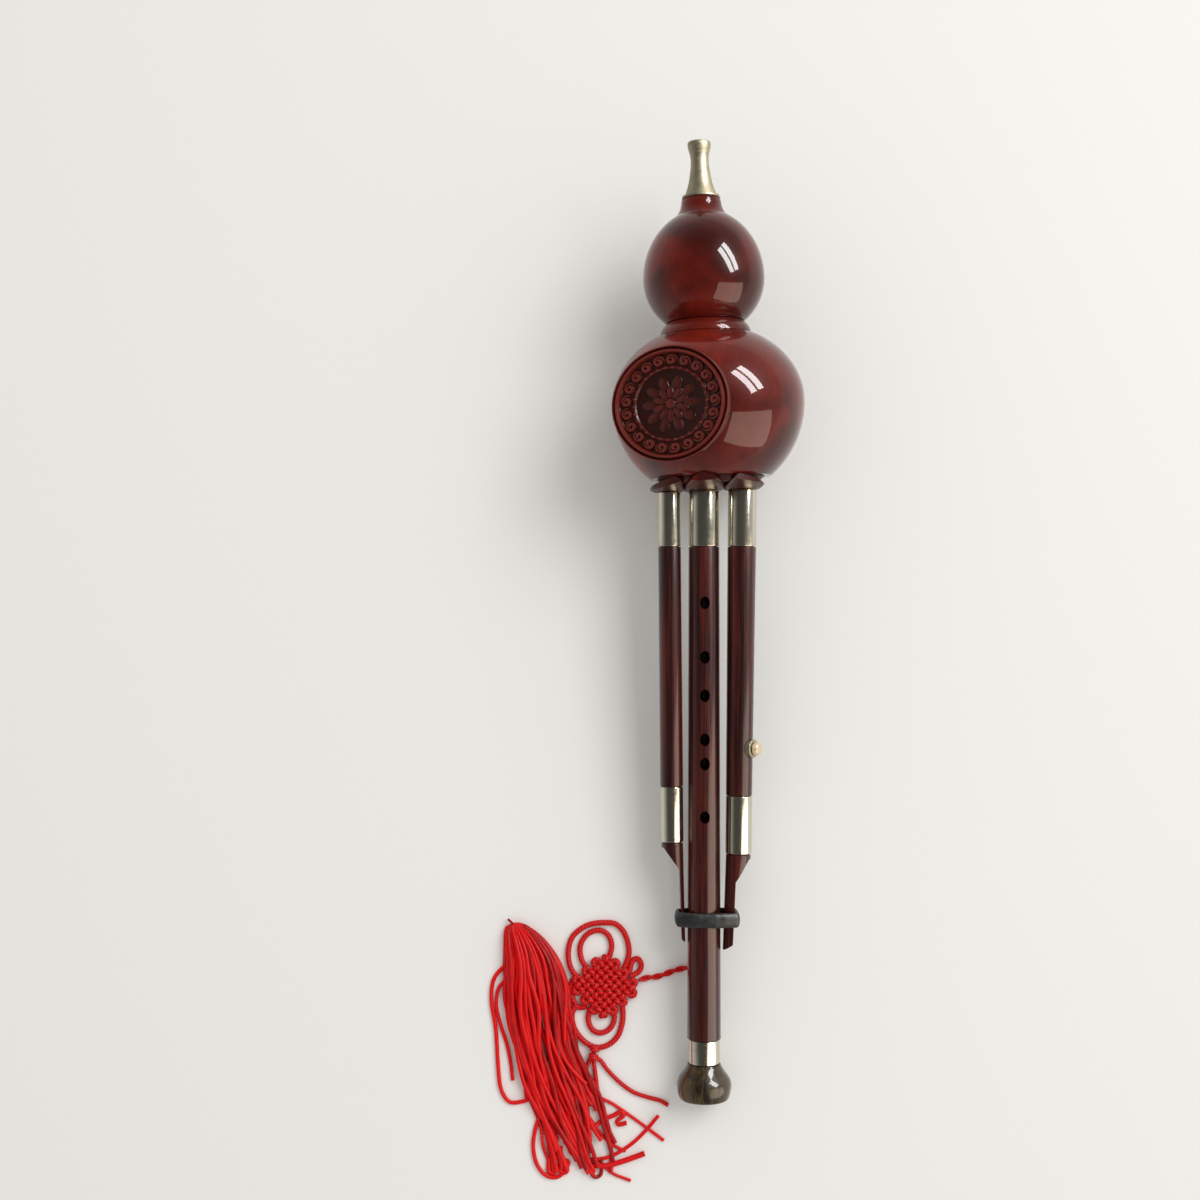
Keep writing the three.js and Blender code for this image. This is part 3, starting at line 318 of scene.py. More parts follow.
class Tree:
    """A node tree that is written as expressions."""

    def __init__(self, tree):
        self.tree = tree
        tree.nodes.clear()

    def node(self, kind, options=None, sockets=None, output=0):
        """Adds a node: its options first, then its sockets' values or links."""
        node = self.tree.nodes.new(kind)
        for name, value in (options or {}).items():
            setattr(node, name, value)
        for name, value in (sockets or {}).items():
            socket = node.inputs[name]
            if isinstance(value, Value):
                self.tree.links.new(value.socket, socket)
            else:
                socket.default_value = value
        return Value(self, node.outputs[output])

    def math(self, operation, *values):
        """A Math node."""
        return self.node("ShaderNodeMath", {"operation": operation}, dict(enumerate(values)))

    def vector(self, operation, a, b):
        """A Vector Math node."""
        return self.node("ShaderNodeVectorMath", {"operation": operation}, {0: a, 1: b})

    def upright(self, z):
        """A vector along Z."""
        return self.node("ShaderNodeCombineXYZ", {}, {"Z": z})

    def part(self, vector, axis):
        """A vector's part along X, Y or Z."""
        return self.node("ShaderNodeSeparateXYZ", {}, {0: vector}, axis)

    def angle(self, vector):
        """A vector's angle round Z."""
        return self.math("ARCTAN2", self.part(vector, "Y"), self.part(vector, "X"))

    def ramp(self, value, start, end, low=0, high=1):
        """The value's way from start to end, as a soft step from low to high."""
        sockets = {"Value": value, "From Min": start, "From Max": end, "To Min": low, "To Max": high}
        return self.node("ShaderNodeMapRange", {"interpolation_type": "SMOOTHSTEP"}, sockets)

    def close(self, kind, value):
        """Ends the tree in an output node."""
        output = self.tree.nodes.new(kind)
        self.tree.links.new(value.socket, output.inputs[0])


class Finish(Tree):
    """A material, written as expressions on its nodes."""

    def __init__(self, name):
        self.material = bpy.data.materials.new(name)
        self.material.use_nodes = True
        super().__init__(self.material.node_tree)
        self.where = self.node("ShaderNodeTexCoord", {}, {}, "Object")

    def along(self, place, scale=(1, 1, 1)):
        """Object coordinates in a place's own directions, stretched by a scale."""
        back = place.matrix.inverted()
        options = {"Vector": self.where, "Rotation": back.to_euler(), "Location": back.translation}
        mapped = self.node("ShaderNodeMapping", {}, options)
        return self.vector("MULTIPLY", mapped, scale)

    def noise(self, where, scale, detail, roughness, distortion=0):
        """Soft noise from 0 to 1."""
        sockets = {
            "Vector": where,
            "Scale": scale,
            "Detail": detail,
            "Roughness": roughness,
            "Distortion": distortion,
        }
        return self.node("ShaderNodeTexNoise", {}, sockets, "Fac")

    def attribute(self, name, output="Fac"):
        """A stored attribute of the mesh."""
        return self.node("ShaderNodeAttribute", {"attribute_name": name}, {}, output)

    def mix(self, share, a, b):
        """A colour between two."""
        return self.node("ShaderNodeMix", {"data_type": "RGBA"}, {0: share, 6: a, 7: b}, 2)

    def over(self, base, colour, value, start, end, share=1):
        """The base, with a share of a colour laid on as the value goes from start to end."""
        return self.mix(self.ramp(value, start, end, 0, share), base, colour)

    def rough(self, noise, low, high):
        """A roughness that goes from low to high with the noise."""
        return self.ramp(noise, 0.3, 0.7, low, high)

    def bump(self, height, distance, strength):
        """The surface raised by that height times a distance."""
        sockets = {"Height": height, "Distance": distance, "Strength": strength}
        return self.node("ShaderNodeBump", {}, sockets)

    def done(self, **sockets):
        """Ends the material in a Principled shader."""
        words = {name.replace("_", " "): value for name, value in sockets.items()}
        self.close("ShaderNodeOutputMaterial", self.node("ShaderNodeBsdfPrincipled", {}, words, "BSDF"))
        return self.material


class Shape(Tree):
    """A Geometry Nodes tree with named inputs."""

    def __init__(self, name, **inputs):
        super().__init__(bpy.data.node_groups.new(name, "GeometryNodeTree"))
        self.socket("Geometry", "Geometry", "OUTPUT")
        kinds = {"Geometry": "Geometry", **inputs, "Material": "Material"}
        self.names = {label: self.socket(label, kind).identifier for label, kind in kinds.items()}
        self.group = self.tree.nodes.new("NodeGroupInput")

    def socket(self, label, kind, way="INPUT"):
        """Adds a socket to the tree's own ones."""
        kind = "NodeSocket" + kind
        return self.tree.interface.new_socket(name=label, in_out=way, socket_type=kind)

    def input(self, label):
        """The tree's own input of that name."""
        return Value(self, self.group.outputs[label])

    def join(self, *parts):
        """Several geometries as one."""
        node = self.tree.nodes.new("GeometryNodeJoinGeometry")
        for part in parts:
            self.tree.links.new(part.socket, node.inputs[0])
        return Value(self, node.outputs[0])

    def named(self, name):
        """A stored number."""
        return self.node("GeometryNodeInputNamedAttribute", {"data_type": "FLOAT"}, {"Name": name})

    def store(self, geometry, name, value, kind="FLOAT"):
        """The geometry with a value stored on its points."""
        options = {"data_type": kind, "domain": "POINT"}
        sockets = {"Geometry": geometry, "Name": name, "Value": value}
        return self.node("GeometryNodeStoreNamedAttribute", options, sockets)

    def end(self, geometry):
        """Ends the tree in real, smooth, coloured geometry."""
        real = self.node("GeometryNodeRealizeInstances", {}, {"Geometry": geometry})
        sockets = {"Geometry": real, "Shade Smooth": True}
        shaded = self.node("GeometryNodeSetShadeSmooth", {}, sockets)
        sockets = {"Geometry": shaded, "Material": self.input("Material")}
        self.close("NodeGroupOutput", self.node("GeometryNodeSetMaterial", {}, sockets))
        return self

    def apply(self, obj, **values):
        """Runs the tree on an object and keeps the result as its mesh."""
        modifier = obj.modifiers.new("shape", "NODES")
        modifier.node_group = self.tree
        for label, value in values.items():
            modifier[self.names[label]] = value
        return baked(obj)


# Meshes


def linked(name, data):
    """A new object of that data, in the scene."""
    obj = bpy.data.objects.new(name, data)
    bpy.context.scene.collection.objects.link(obj)
    return obj


def mesh_object(name, points, faces):
    """A new object from points and faces."""
    mesh = bpy.data.meshes.new(name)
    mesh.from_pydata([tuple(point) for point in points], [], faces)
    return linked(name, mesh)


def baked(obj):
    """The object with its modifiers made part of its mesh."""
    bpy.context.view_layer.update()
    graph = bpy.context.evaluated_depsgraph_get()
    mesh = bpy.data.meshes.new_from_object(obj.evaluated_get(graph))
    obj.modifiers.clear()
    obj.data = mesh
    return obj


def cleaned(obj):
    """The object with its doubled points merged and its faces turned out."""
    grid = bmesh.new()
    grid.from_mesh(obj.data)
    bmesh.ops.remove_doubles(grid, verts=grid.verts, dist=WELD)
    bmesh.ops.dissolve_degenerate(grid, edges=grid.edges, dist=WELD)
    bmesh.ops.recalc_face_normals(grid, faces=grid.faces)
    grid.to_mesh(obj.data)
    grid.free()
    return obj


def circle(sides):
    """The cosine and the sine of each of a circle's angles."""
    angles = [2 * math.pi * i / sides for i in range(sides)]
    return [(math.cos(angle), math.sin(angle)) for angle in angles]


def loft(name, rings, closed=False):
    """A solid skin over rings of as many points each, closed on itself or by a face at each end."""
    count = len(rings[0])
    faces = []
    for r in range(len(rings) if closed else len(rings) - 1):
        a, b = r * count, ((r + 1) % len(rings)) * count
        faces += [(a + i, a + (i + 1) % count, b + (i + 1) % count, b + i) for i in range(count)]
    if not closed:
        last = (len(rings) - 1) * count
        faces += [tuple(range(count)), tuple(range(last, last + count))]
    return cleaned(mesh_object(name, [point for ring in rings for point in ring], faces))


def turned(name, outline, sides=PIPE_SIDES):
    """A solid of revolution round Y, from an outline of (radius, y) points that closes on itself."""
    ring = circle(sides)
    rings = [[(radius * c, y, radius * s) for c, s in ring] for radius, y in outline]
    return loft(name, rings, closed=True)


def rod(radius, low, high, sides=SMALL_SIDES):
    """A solid cylinder round Y, to join or to cut with."""
    return turned("rod", [(0, low), (radius, low), (radius, high), (0, high)], sides)


def carried(obj, matrix):
    """The object with its mesh carried along."""
    obj.data.transform(matrix)
    return obj


def combined(obj, *others, way="DIFFERENCE"):
    """The object with others cut from it or joined to it. The others are used up."""
    for other in others:
        modifier = obj.modifiers.new(way.lower(), "BOOLEAN")
        modifier.operation = way
        modifier.solver = "MANIFOLD"
        modifier.object = other
        baked(obj)
        bpy.data.objects.remove(other)
    return obj


def finished(obj, slot, material, *nodes):
    """Gives a piece its material, its body and the nodes that it stands for."""
    obj.data.materials.clear()
    obj.data.materials.append(material)
    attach(obj, NODE_BODY[nodes[0]])
    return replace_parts(obj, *nodes)


def dress(obj, place, slot, node, material=None, crease=CREASE):
    """Smooths a shape but for its sharp edges, sets it in its place and makes it a node's piece."""
    obj.data.shade_smooth()
    obj.data.set_sharp_from_angle(angle=crease)
    return finished(carried(obj, place.matrix), slot, material or finish_of(slot), node)


def joined(name, *parts):
    """Several objects as one."""
    grid = bmesh.new()
    for part in parts:
        grid.from_mesh(part.data)
    mesh = bpy.data.meshes.new(name)
    grid.to_mesh(mesh)
    grid.free()
    for part in parts:
        bpy.data.objects.remove(part)
    return linked(name, mesh)


# Outlines


def arc(radius, height, centre, start, end, steps=ARC_STEPS):
    """Points of an ellipse round the axis, by its elevation angle at each end."""
    angles = [start + (end - start) * i / steps for i in range(steps + 1)]
    return [(radius * math.cos(a), centre + height * math.sin(a)) for a in angles]


def bulb_line(radius, first, second, middle, start, end):
    """A bulb's outline by elevation angle, with one height on each side of its widest place."""
    return arc(radius, first, middle, start, 0) + arc(radius, second, middle, 0, end)[1:]


def rounded(outline):
    """A closed outline of (radius, y, fillet) corners, each rounded by its fillet."""
    made = []
    for i, corner in enumerate(outline):
        here = Vector(corner[:2])
        fillet = corner[2] if len(corner) > 2 else 0
        if not fillet:
            made.append(tuple(here))
            continue
        back = Vector(outline[i - 1][:2]) - here
        on = Vector(outline[(i + 1) % len(outline)][:2]) - here
        reach = min(fillet, back.length / 2, on.length / 2)
        made += bend(here + back.normalized() * reach, here, here + on.normalized() * reach, FILLET_STEPS)
    return made


def bend(start, corner, end, steps):
    """Points of a curve from start to end that leans towards a corner."""
    shares = [k / steps for k in range(steps + 1)]
    return [tuple(start.lerp(corner, t).lerp(corner.lerp(end, t), t)) for t in shares]


def flat_spline(points, steps):
    """A smooth outline through the points."""
    return [tuple(point) for point in spline(points, steps)]


def spline(points, steps):
    """A smooth line through the points, a Catmull-Rom curve with steps to a span."""
    points = [Vector(point) for point in points]
    ends = [2 * points[0] - points[1], *points, 2 * points[-1] - points[-2]]
    made = []
    for a, b, c, d in zip(ends, ends[1:], ends[2:], ends[3:]):
        for i in range(steps):
            t = i / steps
            curve = (2 * a - 5 * b + 4 * c - d) * t**2 + (3 * b - a - 3 * c + d) * t**3
            made.append(b + ((c - a) * t + curve) / 2)
    return [*made, points[-1]]


def even(points, step):
    """The same line with points at even steps."""
    made, rest = [points[0]], step
    for a, b in zip(points, points[1:]):
        span = (b - a).length
        while rest <= span:
            made.append(a.lerp(b, rest / span))
            rest += step
        rest -= span
    if (made[-1] - points[-1]).length > step / 2:
        made.append(points[-1])
    else:
        made[-1] = points[-1]
    return made


# Finishes


def gourd_finish(colours):
    """Clear gloss over a mottled dark red stain."""
    finish = Finish("gourd lacquer")
    where = finish.along(PLACES["gourd"])
    cloud = finish.noise(where, 26, 4, 0.55, 0.4)
    streak = finish.noise(finish.along(PLACES["gourd"], (1, 0.22, 1)), 120, 3, 0.6)
    fleck = finish.noise(where, 420, 2, 0.6)
    base = finish.over(colours.lacquer_dark, colours.lacquer, cloud, 0.34, 0.58)
    base = finish.over(base, colours.lacquer_bright, cloud * 0.6 + streak * 0.4, 0.5, 0.68)
    return finish.done(
        Base_Color=finish.over(base, colours.lacquer_dark, fleck, 0.6, 0.74, 0.35),
        Roughness=finish.rough(cloud, 0.3, 0.42),
        Specular_IOR_Level=0.05,
        Coat_Weight=1.0,
        Coat_IOR=1.32,
        Coat_Roughness=0.035,
        Normal=finish.bump(finish.noise(where, 38, 1, 0.4), 0.5 * MM, 0.16),
    )


def carving_finish(name, place, deep, high, colour, coat):
    """Dark lacquered carving whose hollows are darker, by height along a place's Y."""
    colours = settings("finish")
    finish = Finish(name)
    where = finish.along(place)
    grain = finish.noise(finish.along(place, (1, 1, 0.15)), 900, 3, 0.6)
    worn = finish.noise(where, 160, 4, 0.6)
    height = finish.part(where, "Y") + (grain - 0.5) * (high - deep) * 0.5
    rise = finish.ramp(height, deep, high)
    base = finish.mix(rise, colours.carving_dark, colour)
    base = finish.mix(finish.ramp(worn, 0.52, 0.72, 0, 0.45) * rise, base, colours.lacquer_bright)
    return finish.done(
        Base_Color=base,
        Roughness=finish.rough(worn, 0.3, 0.5),
        Specular_IOR_Level=0.1,
        Coat_Weight=coat,
        Coat_IOR=1.35,
        Coat_Roughness=0.14,
        Normal=finish.bump(grain * 0.7 + worn * 0.3, 0.12 * MM, 0.5),
    )


def pipe_finish(colours):
    """Satin lacquer over dark red wood with a fine lengthwise grain."""
    finish = Finish("pipe wood")
    grain = finish.noise(finish.along(PLACES["main"], (1, 0.018, 1)), 1500, 4, 0.62, 0.15)
    bands = finish.noise(finish.along(PLACES["main"], (1, 0.035, 1)), 260, 3, 0.55, 0.3)
    pores = finish.noise(finish.along(PLACES["main"], (1, 0.05, 1)), 3600, 1, 0.5)
    base = finish.over(colours.pipe_dark, colours.pipe, grain * 0.55 + bands * 0.45, 0.4, 0.6)
    base = finish.over(base, colours.lacquer, bands, 0.56, 0.72, 0.5)
    return finish.done(
        Base_Color=finish.over(base, colours.carving_dark, pores, 0.64, 0.72, 0.7),
        Roughness=finish.rough(grain, 0.3, 0.44),
        Specular_IOR_Level=0.15,
        Coat_Weight=1.0,
        Coat_IOR=1.36,
        Coat_Roughness=0.13,
        Normal=finish.bump(grain * 0.7 + pores * 0.3, 0.06 * MM, 0.4),
    )


def metal_finish(name, colour, roughness, lines, place, tarnish):
    """Polished metal with fine turning lines round a place's Y and a little tarnish."""
    finish = Finish(name)
    rings = finish.noise(finish.along(place, (0.03, 1, 0.03)), lines, 3, 0.7)
    cloud = finish.noise(finish.where, 130, 4, 0.6)
    rub = finish.noise(finish.where, 900, 2, 0.6)
    worn = rings * 0.5 + rub * 0.3 + cloud * 0.2
    return finish.done(
        Base_Color=finish.over(colour, scaled(colour, 0.62), cloud, 0.45, 0.75, tarnish),
        Metallic=1.0,
        Roughness=finish.ramp(worn, 0.35, 0.65, roughness * 0.75, roughness * 1.4),
        Normal=finish.bump(rings, 0.02 * MM, 0.35),
    )


def horn_finish(colours):
    """Glossy dark olive horn with lengthwise streaks."""
    finish = Finish("bell horn")
    streak = finish.noise(finish.along(PLACES["main"], (1, 0.16, 1)), 420, 4, 0.6, 0.5)
    cloud = finish.noise(finish.where, 150, 3, 0.5)
    pale = scaled(colours.horn, 2.1)
    base = finish.over(colours.horn_dark, colours.horn, streak, 0.36, 0.6)
    return finish.done(
        Base_Color=finish.over(base, pale, streak * 0.7 + cloud * 0.3, 0.56, 0.74, 0.6),
        Roughness=finish.rough(cloud, 0.24, 0.4),
        Specular_IOR_Level=0.2,
        Coat_Weight=0.8,
        Coat_IOR=1.36,
        Coat_Roughness=0.1,
        Normal=finish.bump(streak, 0.05 * MM, 0.1),
    )


def ivory_finish(colours):
    """Polished cream, with a warm tint in faint rings."""
    finish = Finish("stopper ivory")
    rings = finish.noise(finish.along(PLACES["stopper"], (1, 0.4, 1)), 700, 3, 0.5)
    warm = tuple(c * w for c, w in zip(colours.ivory[:3], (0.72, 0.5, 0.34))) + (1.0,)
    return finish.done(
        Base_Color=finish.over(colours.ivory, warm, rings, 0.42, 0.7, 0.65),
        Roughness=finish.rough(rings, 0.22, 0.36),
        Coat_Weight=0.5,
        Coat_Roughness=0.08,
    )


def rubber_finish(colours):
    """Black rubber with a soft sheen and dust in its pores."""
    finish = Finish("black rubber")
    pores = finish.noise(finish.where, 2600, 2, 0.6)
    dust = finish.noise(finish.where, 240, 4, 0.6)
    return finish.done(
        Base_Color=finish.over(colours.rubber, scaled(colours.rubber, 2.6, 0.01), dust, 0.5, 0.75, 0.6),
        Roughness=finish.rough(dust, 0.36, 0.55),
        Normal=finish.bump(pores, 0.05 * MM, 0.5),
    )


def cork_finish(colours):
    """Bare cork with dark flecks and pits."""
    finish = Finish("cork")
    fleck = finish.noise(finish.where, 1100, 4, 0.7)
    grain = finish.noise(finish.where, 380, 3, 0.6)
    dark = scaled(colours.cork, 0.34)
    base = finish.over(colours.cork, dark, fleck, 0.55, 0.68, 0.9)
    return finish.done(
        Base_Color=finish.over(base, dark, grain, 0.55, 0.7, 0.4),
        Roughness=finish.rough(grain, 0.8, 0.95),
        Normal=finish.bump(fleck, 0.2 * MM, 0.7),
    )


def yarn_twist(finish, plies, lay):
    """A yarn's twist from 0 to 1, from the stored way round and along it."""
    turn = finish.angle(finish.attribute("around", "Vector")) * plies
    turn += finish.attribute("along") * (2 * math.pi / lay)
    return finish.math("SINE", turn) * 0.5 + 0.5


def cord_finish(name, lay, plies):
    """Red twisted yarn, with painted shade in the grooves between its plies."""
    colours = settings("finish")
    finish = Finish(name)
    twist = yarn_twist(finish, plies, lay)
    fibre = finish.noise(finish.where, 2400, 2, 0.6)
    # Painted light and shade: the twist's grooves are painted towards the dark red, and its ply tops keep the full
    # red
    lit = finish.ramp(twist + (fibre - 0.5) * 0.5, 0.05, 0.75)
    deep = finish.mix(finish.attribute("shade"), colours.red_dark, colours.red)
    return finish.done(
        Base_Color=finish.mix(lit * 0.75 + 0.25, colours.red_dark, deep),
        Roughness=finish.rough(fibre, 0.42, 0.62),
        Specular_IOR_Level=0.2,
        Sheen_Weight=0.05,
        Sheen_Roughness=0.4,
        Sheen_Tint=tuple(colours.red),
        Normal=finish.bump(twist + fibre * 0.4, 0.16 * MM, 0.8),
    )


def silk_finish():
    """The tassel's bright red yarn: smooth, with a fine twist and a soft sheen."""
    colours = settings("finish")
    finish = Finish("tassel yarn")
    twist = yarn_twist(finish, 2, 3.2 * MM)
    fibre = finish.noise(finish.where, 1800, 3, 0.6)
    cloud = finish.noise(finish.where, 140, 2, 0.5)
    tone = finish.attribute("shade") * 0.6 + cloud * 0.5 + fibre * 0.2
    return finish.done(
        Base_Color=finish.over(colours.red_dark, colours.red, tone, 0.3, 0.85),
        Roughness=finish.rough(fibre, 0.4, 0.58),
        Specular_IOR_Level=0.16,
        Sheen_Weight=0.03,
        Sheen_Roughness=0.4,
        Sheen_Tint=tuple(colours.red),
        Normal=finish.bump(twist * 0.5 + fibre * 0.5, 0.1 * MM, 0.5),
    )


# A slot's metal: its name, its setting, its roughness, its lines, their place and its tarnish
METALS = {
    "ferrule_nickel": ("ferrule nickel", "nickel", 0.17, 3800, "main", 0.35),
    "mouthpiece_metal": ("mouthpiece metal", "mouth_metal", 0.47, 2600, "gourd", 0.6),
    "reed_brass": ("reed brass", "brass", 0.34, 2200, "main", 0.7),
}
MAKERS = {
    "gourd_lacquer": gourd_finish,
    "pipe_wood": pipe_finish,
    "bell_horn": horn_finish,
    "stopper_ivory": ivory_finish,
    "black_rubber": rubber_finish,
    "cork": cork_finish,
}
FINISHES = {}


def finish_of(slot):
    """The material of a slot, made once."""
    colours = settings("finish")
    if slot not in FINISHES and slot in METALS:
        name, word, roughness, lines, place, tarnish = METALS[slot]
        colour = tuple(getattr(colours, word))
        FINISHES[slot] = metal_finish(name, colour, roughness, lines, PLACES[place], tarnish)
    elif slot not in FINISHES:
        FINISHES[slot] = MAKERS[slot](colours)
    return FINISHES[slot]


class Steps:
    """What the operators share: each runs its steps in turn, and an error in one stops it."""

    steps = ()

    def execute(self, context):
        for step in self.steps:
            step()
        return {"FINISHED"}


# Stage

SENSOR_WIDTH = 36
FLOOR_HALF = 4.0
ROOM_COLOUR = srgb(255, 254, 251)
HORIZON_LIGHT = 0.6  # that gloss sees
OVERHEAD_LIGHT = 0.07
OVERHEAD = 0.8  # the upward share of a direction from which the room is overhead


def make_camera():
    """A camera square to the pipes, as the photograph was taken."""
    stage = settings("stage")
    data = bpy.data.cameras.new("camera")
    data.sensor_width = SENSOR_WIDTH
    data.lens = data.sensor_width * stage.camera_height / stage.view_width
    camera = linked("camera", data)
    right = (IMAGE_MIDDLE_PX - PIPE_LINE_PX) * PX
    up = (BELL_END_PX - IMAGE_MIDDLE_PX) * PX
    camera.matrix_world = PLACES["main"].moved(right, up, stage.camera_height).matrix
    bpy.context.scene.camera = camera


def make_floor():
    """A pale floor, a little wider than every view of it."""
    corners = ((-1, -1), (1, -1), (1, 1), (-1, 1))
    points = [(x * FLOOR_HALF, y * FLOOR_HALF, 0) for x, y in corners]
    floor = mesh_object("floor", points, [(0, 1, 2, 3)])
    finish = Finish("floor")
    pale = tuple(settings("stage").floor_colour)
    base = finish.mix(finish.noise(finish.where, 900, 3, 0.6), scaled(pale, 0.97), pale)
    floor.data.materials.append(finish.done(Base_Color=base, Roughness=0.85))


# The lamps: a middle, a long way, a short way, and a length and width
WINDOW = ((0.77, 0.55, 0.8), (0.605, -0.787, -0.12), (0.42, 0.52, -0.74), (0.82, 0.175))
WINDOW_PANES = {"upper pane": 0.118, "lower pane": -0.118}  # how far from the window's middle
CARD = ((0.7, -0.45, 0.47), (-0.668, -0.229, 0.708), (-0.247, -0.79, -0.56), (0.98, 0.66))
CARD_COLOUR = (1, 0.85, 0.7)
KEY = ((1.3, 0.9, 2.1), (1, 0, -0.62), (0, 1, -0.4), (1.5, 1.5))


def make_lamp(name, lamp, radiance, aside=0, colour=(1, 1, 1)):
    """An area light that shows in gloss only, moved aside by its short way."""
    middle, along, across = (Vector(part) for part in lamp[:3])
    middle += across * aside
    along = along.normalized()
    across = (across - along * across.dot(along)).normalized()
    data = bpy.data.lights.new(name, "AREA")
    data.shape = "RECTANGLE"
    data.size, data.size_y = lamp[3]
    data.energy = radiance * lamp[3][0] * lamp[3][1] * math.pi
    data.color = colour
    light = linked(name, data)
    light.visible_diffuse = False
    light.visible_camera = False
    turn = Matrix((along, across, along.cross(across))).transposed().to_4x4()
    light.matrix_world = Matrix.Translation(middle) @ turn
    return light


def make_lamps():
    """A window of two panes and a warm card, which only show in gloss, and a soft key light."""
    stage = settings("stage")
    for name, aside in WINDOW_PANES.items():
        make_lamp(name, WINDOW, stage.window_light, aside)
    make_lamp("warm card", CARD, stage.card_light, colour=CARD_COLOUR)
    light = make_lamp("key", KEY, stage.key_light)
    light.visible_diffuse = True
    light.visible_glossy = False


def make_room():
    """A room that is pale at its horizon and dimmer overhead, white to the camera."""
    world = bpy.data.worlds.new("room")
    world.use_nodes = True
    room = Tree(world.node_tree)
    height = room.part(room.node("ShaderNodeTexCoord", {}, {}, "Generated"), "Z")
    seen = room.ramp(height, 0.0, OVERHEAD, HORIZON_LIGHT, OVERHEAD_LIGHT)
    rays = [f"Is {ray} Ray" for ray in ("Camera", "Glossy", "Transmission")]
    camera, glossy, clear = (room.node("ShaderNodeLightPath", {}, {}, ray) for ray in rays)
    mirror = room.math("MAXIMUM", glossy, clear)
    light = (1 - mirror) * settings("stage").world_light + mirror * seen
    sockets = {"Color": ROOM_COLOUR, "Strength": (1 - camera) * light + camera}
    room.close("ShaderNodeOutputWorld", room.node("ShaderNodeBackground", {}, sockets))
    bpy.context.scene.world = world
    bpy.context.scene.view_settings.view_transform = "Standard"


class HULUSI_OT_stage(Steps, bpy.types.Operator):
    """Makes the camera, the floor, the lamps and the room"""

    bl_idname = "hulusi.stage"
    bl_label = "Stage"
    steps = (make_camera, make_floor, make_lamps, make_room)


# Red cord


def line_curves(shape):
    """The lines of the mesh as curves, with the way along them stored for the twist."""
    curve = shape.node("GeometryNodeMeshToCurve", {}, {"Mesh": shape.input("Geometry")})
    return shape.store(curve, "along", shape.node("GeometryNodeSplineParameter", {}, {}, "Length"))


def tube_on(shape, curve, radius):
    """A tube along each curve, with the way round it stored for the twist."""
    sockets = {"Resolution": shape.input("Sides"), "Radius": radius}
    ring = shape.node("GeometryNodeCurvePrimitiveCircle", {"mode": "RADIUS"}, sockets)
    way = shape.vector("NORMALIZE", shape.node("GeometryNodeInputPosition"), (0, 0, 0))
    ring = shape.store(ring, "around", way, "FLOAT_VECTOR")
    sockets = {
        "Curve": curve,
        "Profile Curve": ring,
        "Scale": shape.named("thickness"),
        "Fill Caps": True,
    }
    return shape.end(shape.node("GeometryNodeCurveToMesh", {}, sockets))


def yarn_tree():
    """A tube along each line of the mesh."""
    shape = Shape("yarn", Diameter="Float", Sides="Int")
    return tube_on(shape, line_curves(shape), shape.input("Diameter") * 0.5)


def twisted_tree(plies):
    """Several strands laid round each line of the mesh."""
    shape = Shape("twisted cord", Diameter="Float", Lay="Float", Sides="Int")
    curve = line_curves(shape)
    normal = shape.node("GeometryNodeInputNormal")
    across = shape.vector("CROSS_PRODUCT", shape.node("GeometryNodeInputTangent"), normal)
    reach = shape.input("Diameter") * 0.25
    strands = []
    for ply in range(plies):
        turn = shape.named("along") / shape.input("Lay") * (2 * math.pi) + 2 * math.pi * ply / plies
        ways = []
        for way, wave in ((normal, "COSINE"), (across, "SINE")):
            sockets = {"Vector": way, "Scale": shape.math(wave, turn) * reach}
            ways.append(shape.node("ShaderNodeVectorMath", {"operation": "SCALE"}, sockets))
        sockets = {"Geometry": curve, "Offset": shape.vector("ADD", *ways)}
        strands.append(shape.node("GeometryNodeSetPosition", {}, sockets))
    return tube_on(shape, shape.join(*strands), shape.input("Diameter") * 0.27)


def line_object(name, lines, shades=None, sizes=None):
    """Lines of points as the edges of a mesh, with a shade for each and a thickness at each point."""
    mesh = bpy.data.meshes.new(name)
    points, edges, shade, thickness = [], [], [], []
    for i, line in enumerate(lines):
        first = len(points)
        points += [tuple(point) for point in line]
        edges += [(first + k, first + k + 1) for k in range(len(line) - 1)]
        shade += [shades[i] if shades else 1.0] * len(line)
        thickness += sizes[i] if sizes else [1.0] * len(line)
    mesh.from_pydata(points, edges, [])
    for word, values in (("shade", shade), ("thickness", thickness)):
        mesh.attributes.new(word, "FLOAT", "POINT").data.foreach_set("value", values)
    return linked(name, mesh)


def floor_points(points):
    """Points measured from the bell's end on the floor, in millimetres, in the frame."""
    end = PLACES["main"].matrix.translation
    return [Vector((end.x, end.y, 0)) + Vector(point) * MM for point in points]


def pixel_points(points):
    """Points of (x, y) pixels and a height in millimetres, in the frame."""
    scale = PX / MM
    return floor_points(((x - PIPE_LINE_PX) * scale, (BELL_END_PX - y) * scale, z) for x, y, z in points)


# The cord's line from its hole in the main pipe, in millimetres from the bell's end
CORD_POINTS = [
    (0, 57.2, 11.2), (0, 57.2, 8), (-0.3, 57.2, 6.4), (-0.9, 57.1, 5), (-1.9, 57, 3.9),
    (-3.1, 56.9, 3.1), (-4.6, 56.8, 2.4), (-6.2, 56.6, 2), (-9.4, 56.1, 1.5), (-12.6, 55.2, 1.4),
    (-15.6, 54.1, 1.4), (-18.6, 53, 1.4), (-21.6, 52.3, 1.4), (-24.6, 52.1, 1.6), (-27, 51.5, 1.9),
    (-29, 51, 2.3),
]
CORD_STEP = 0.4 * MM
CORD_PLIES = 2


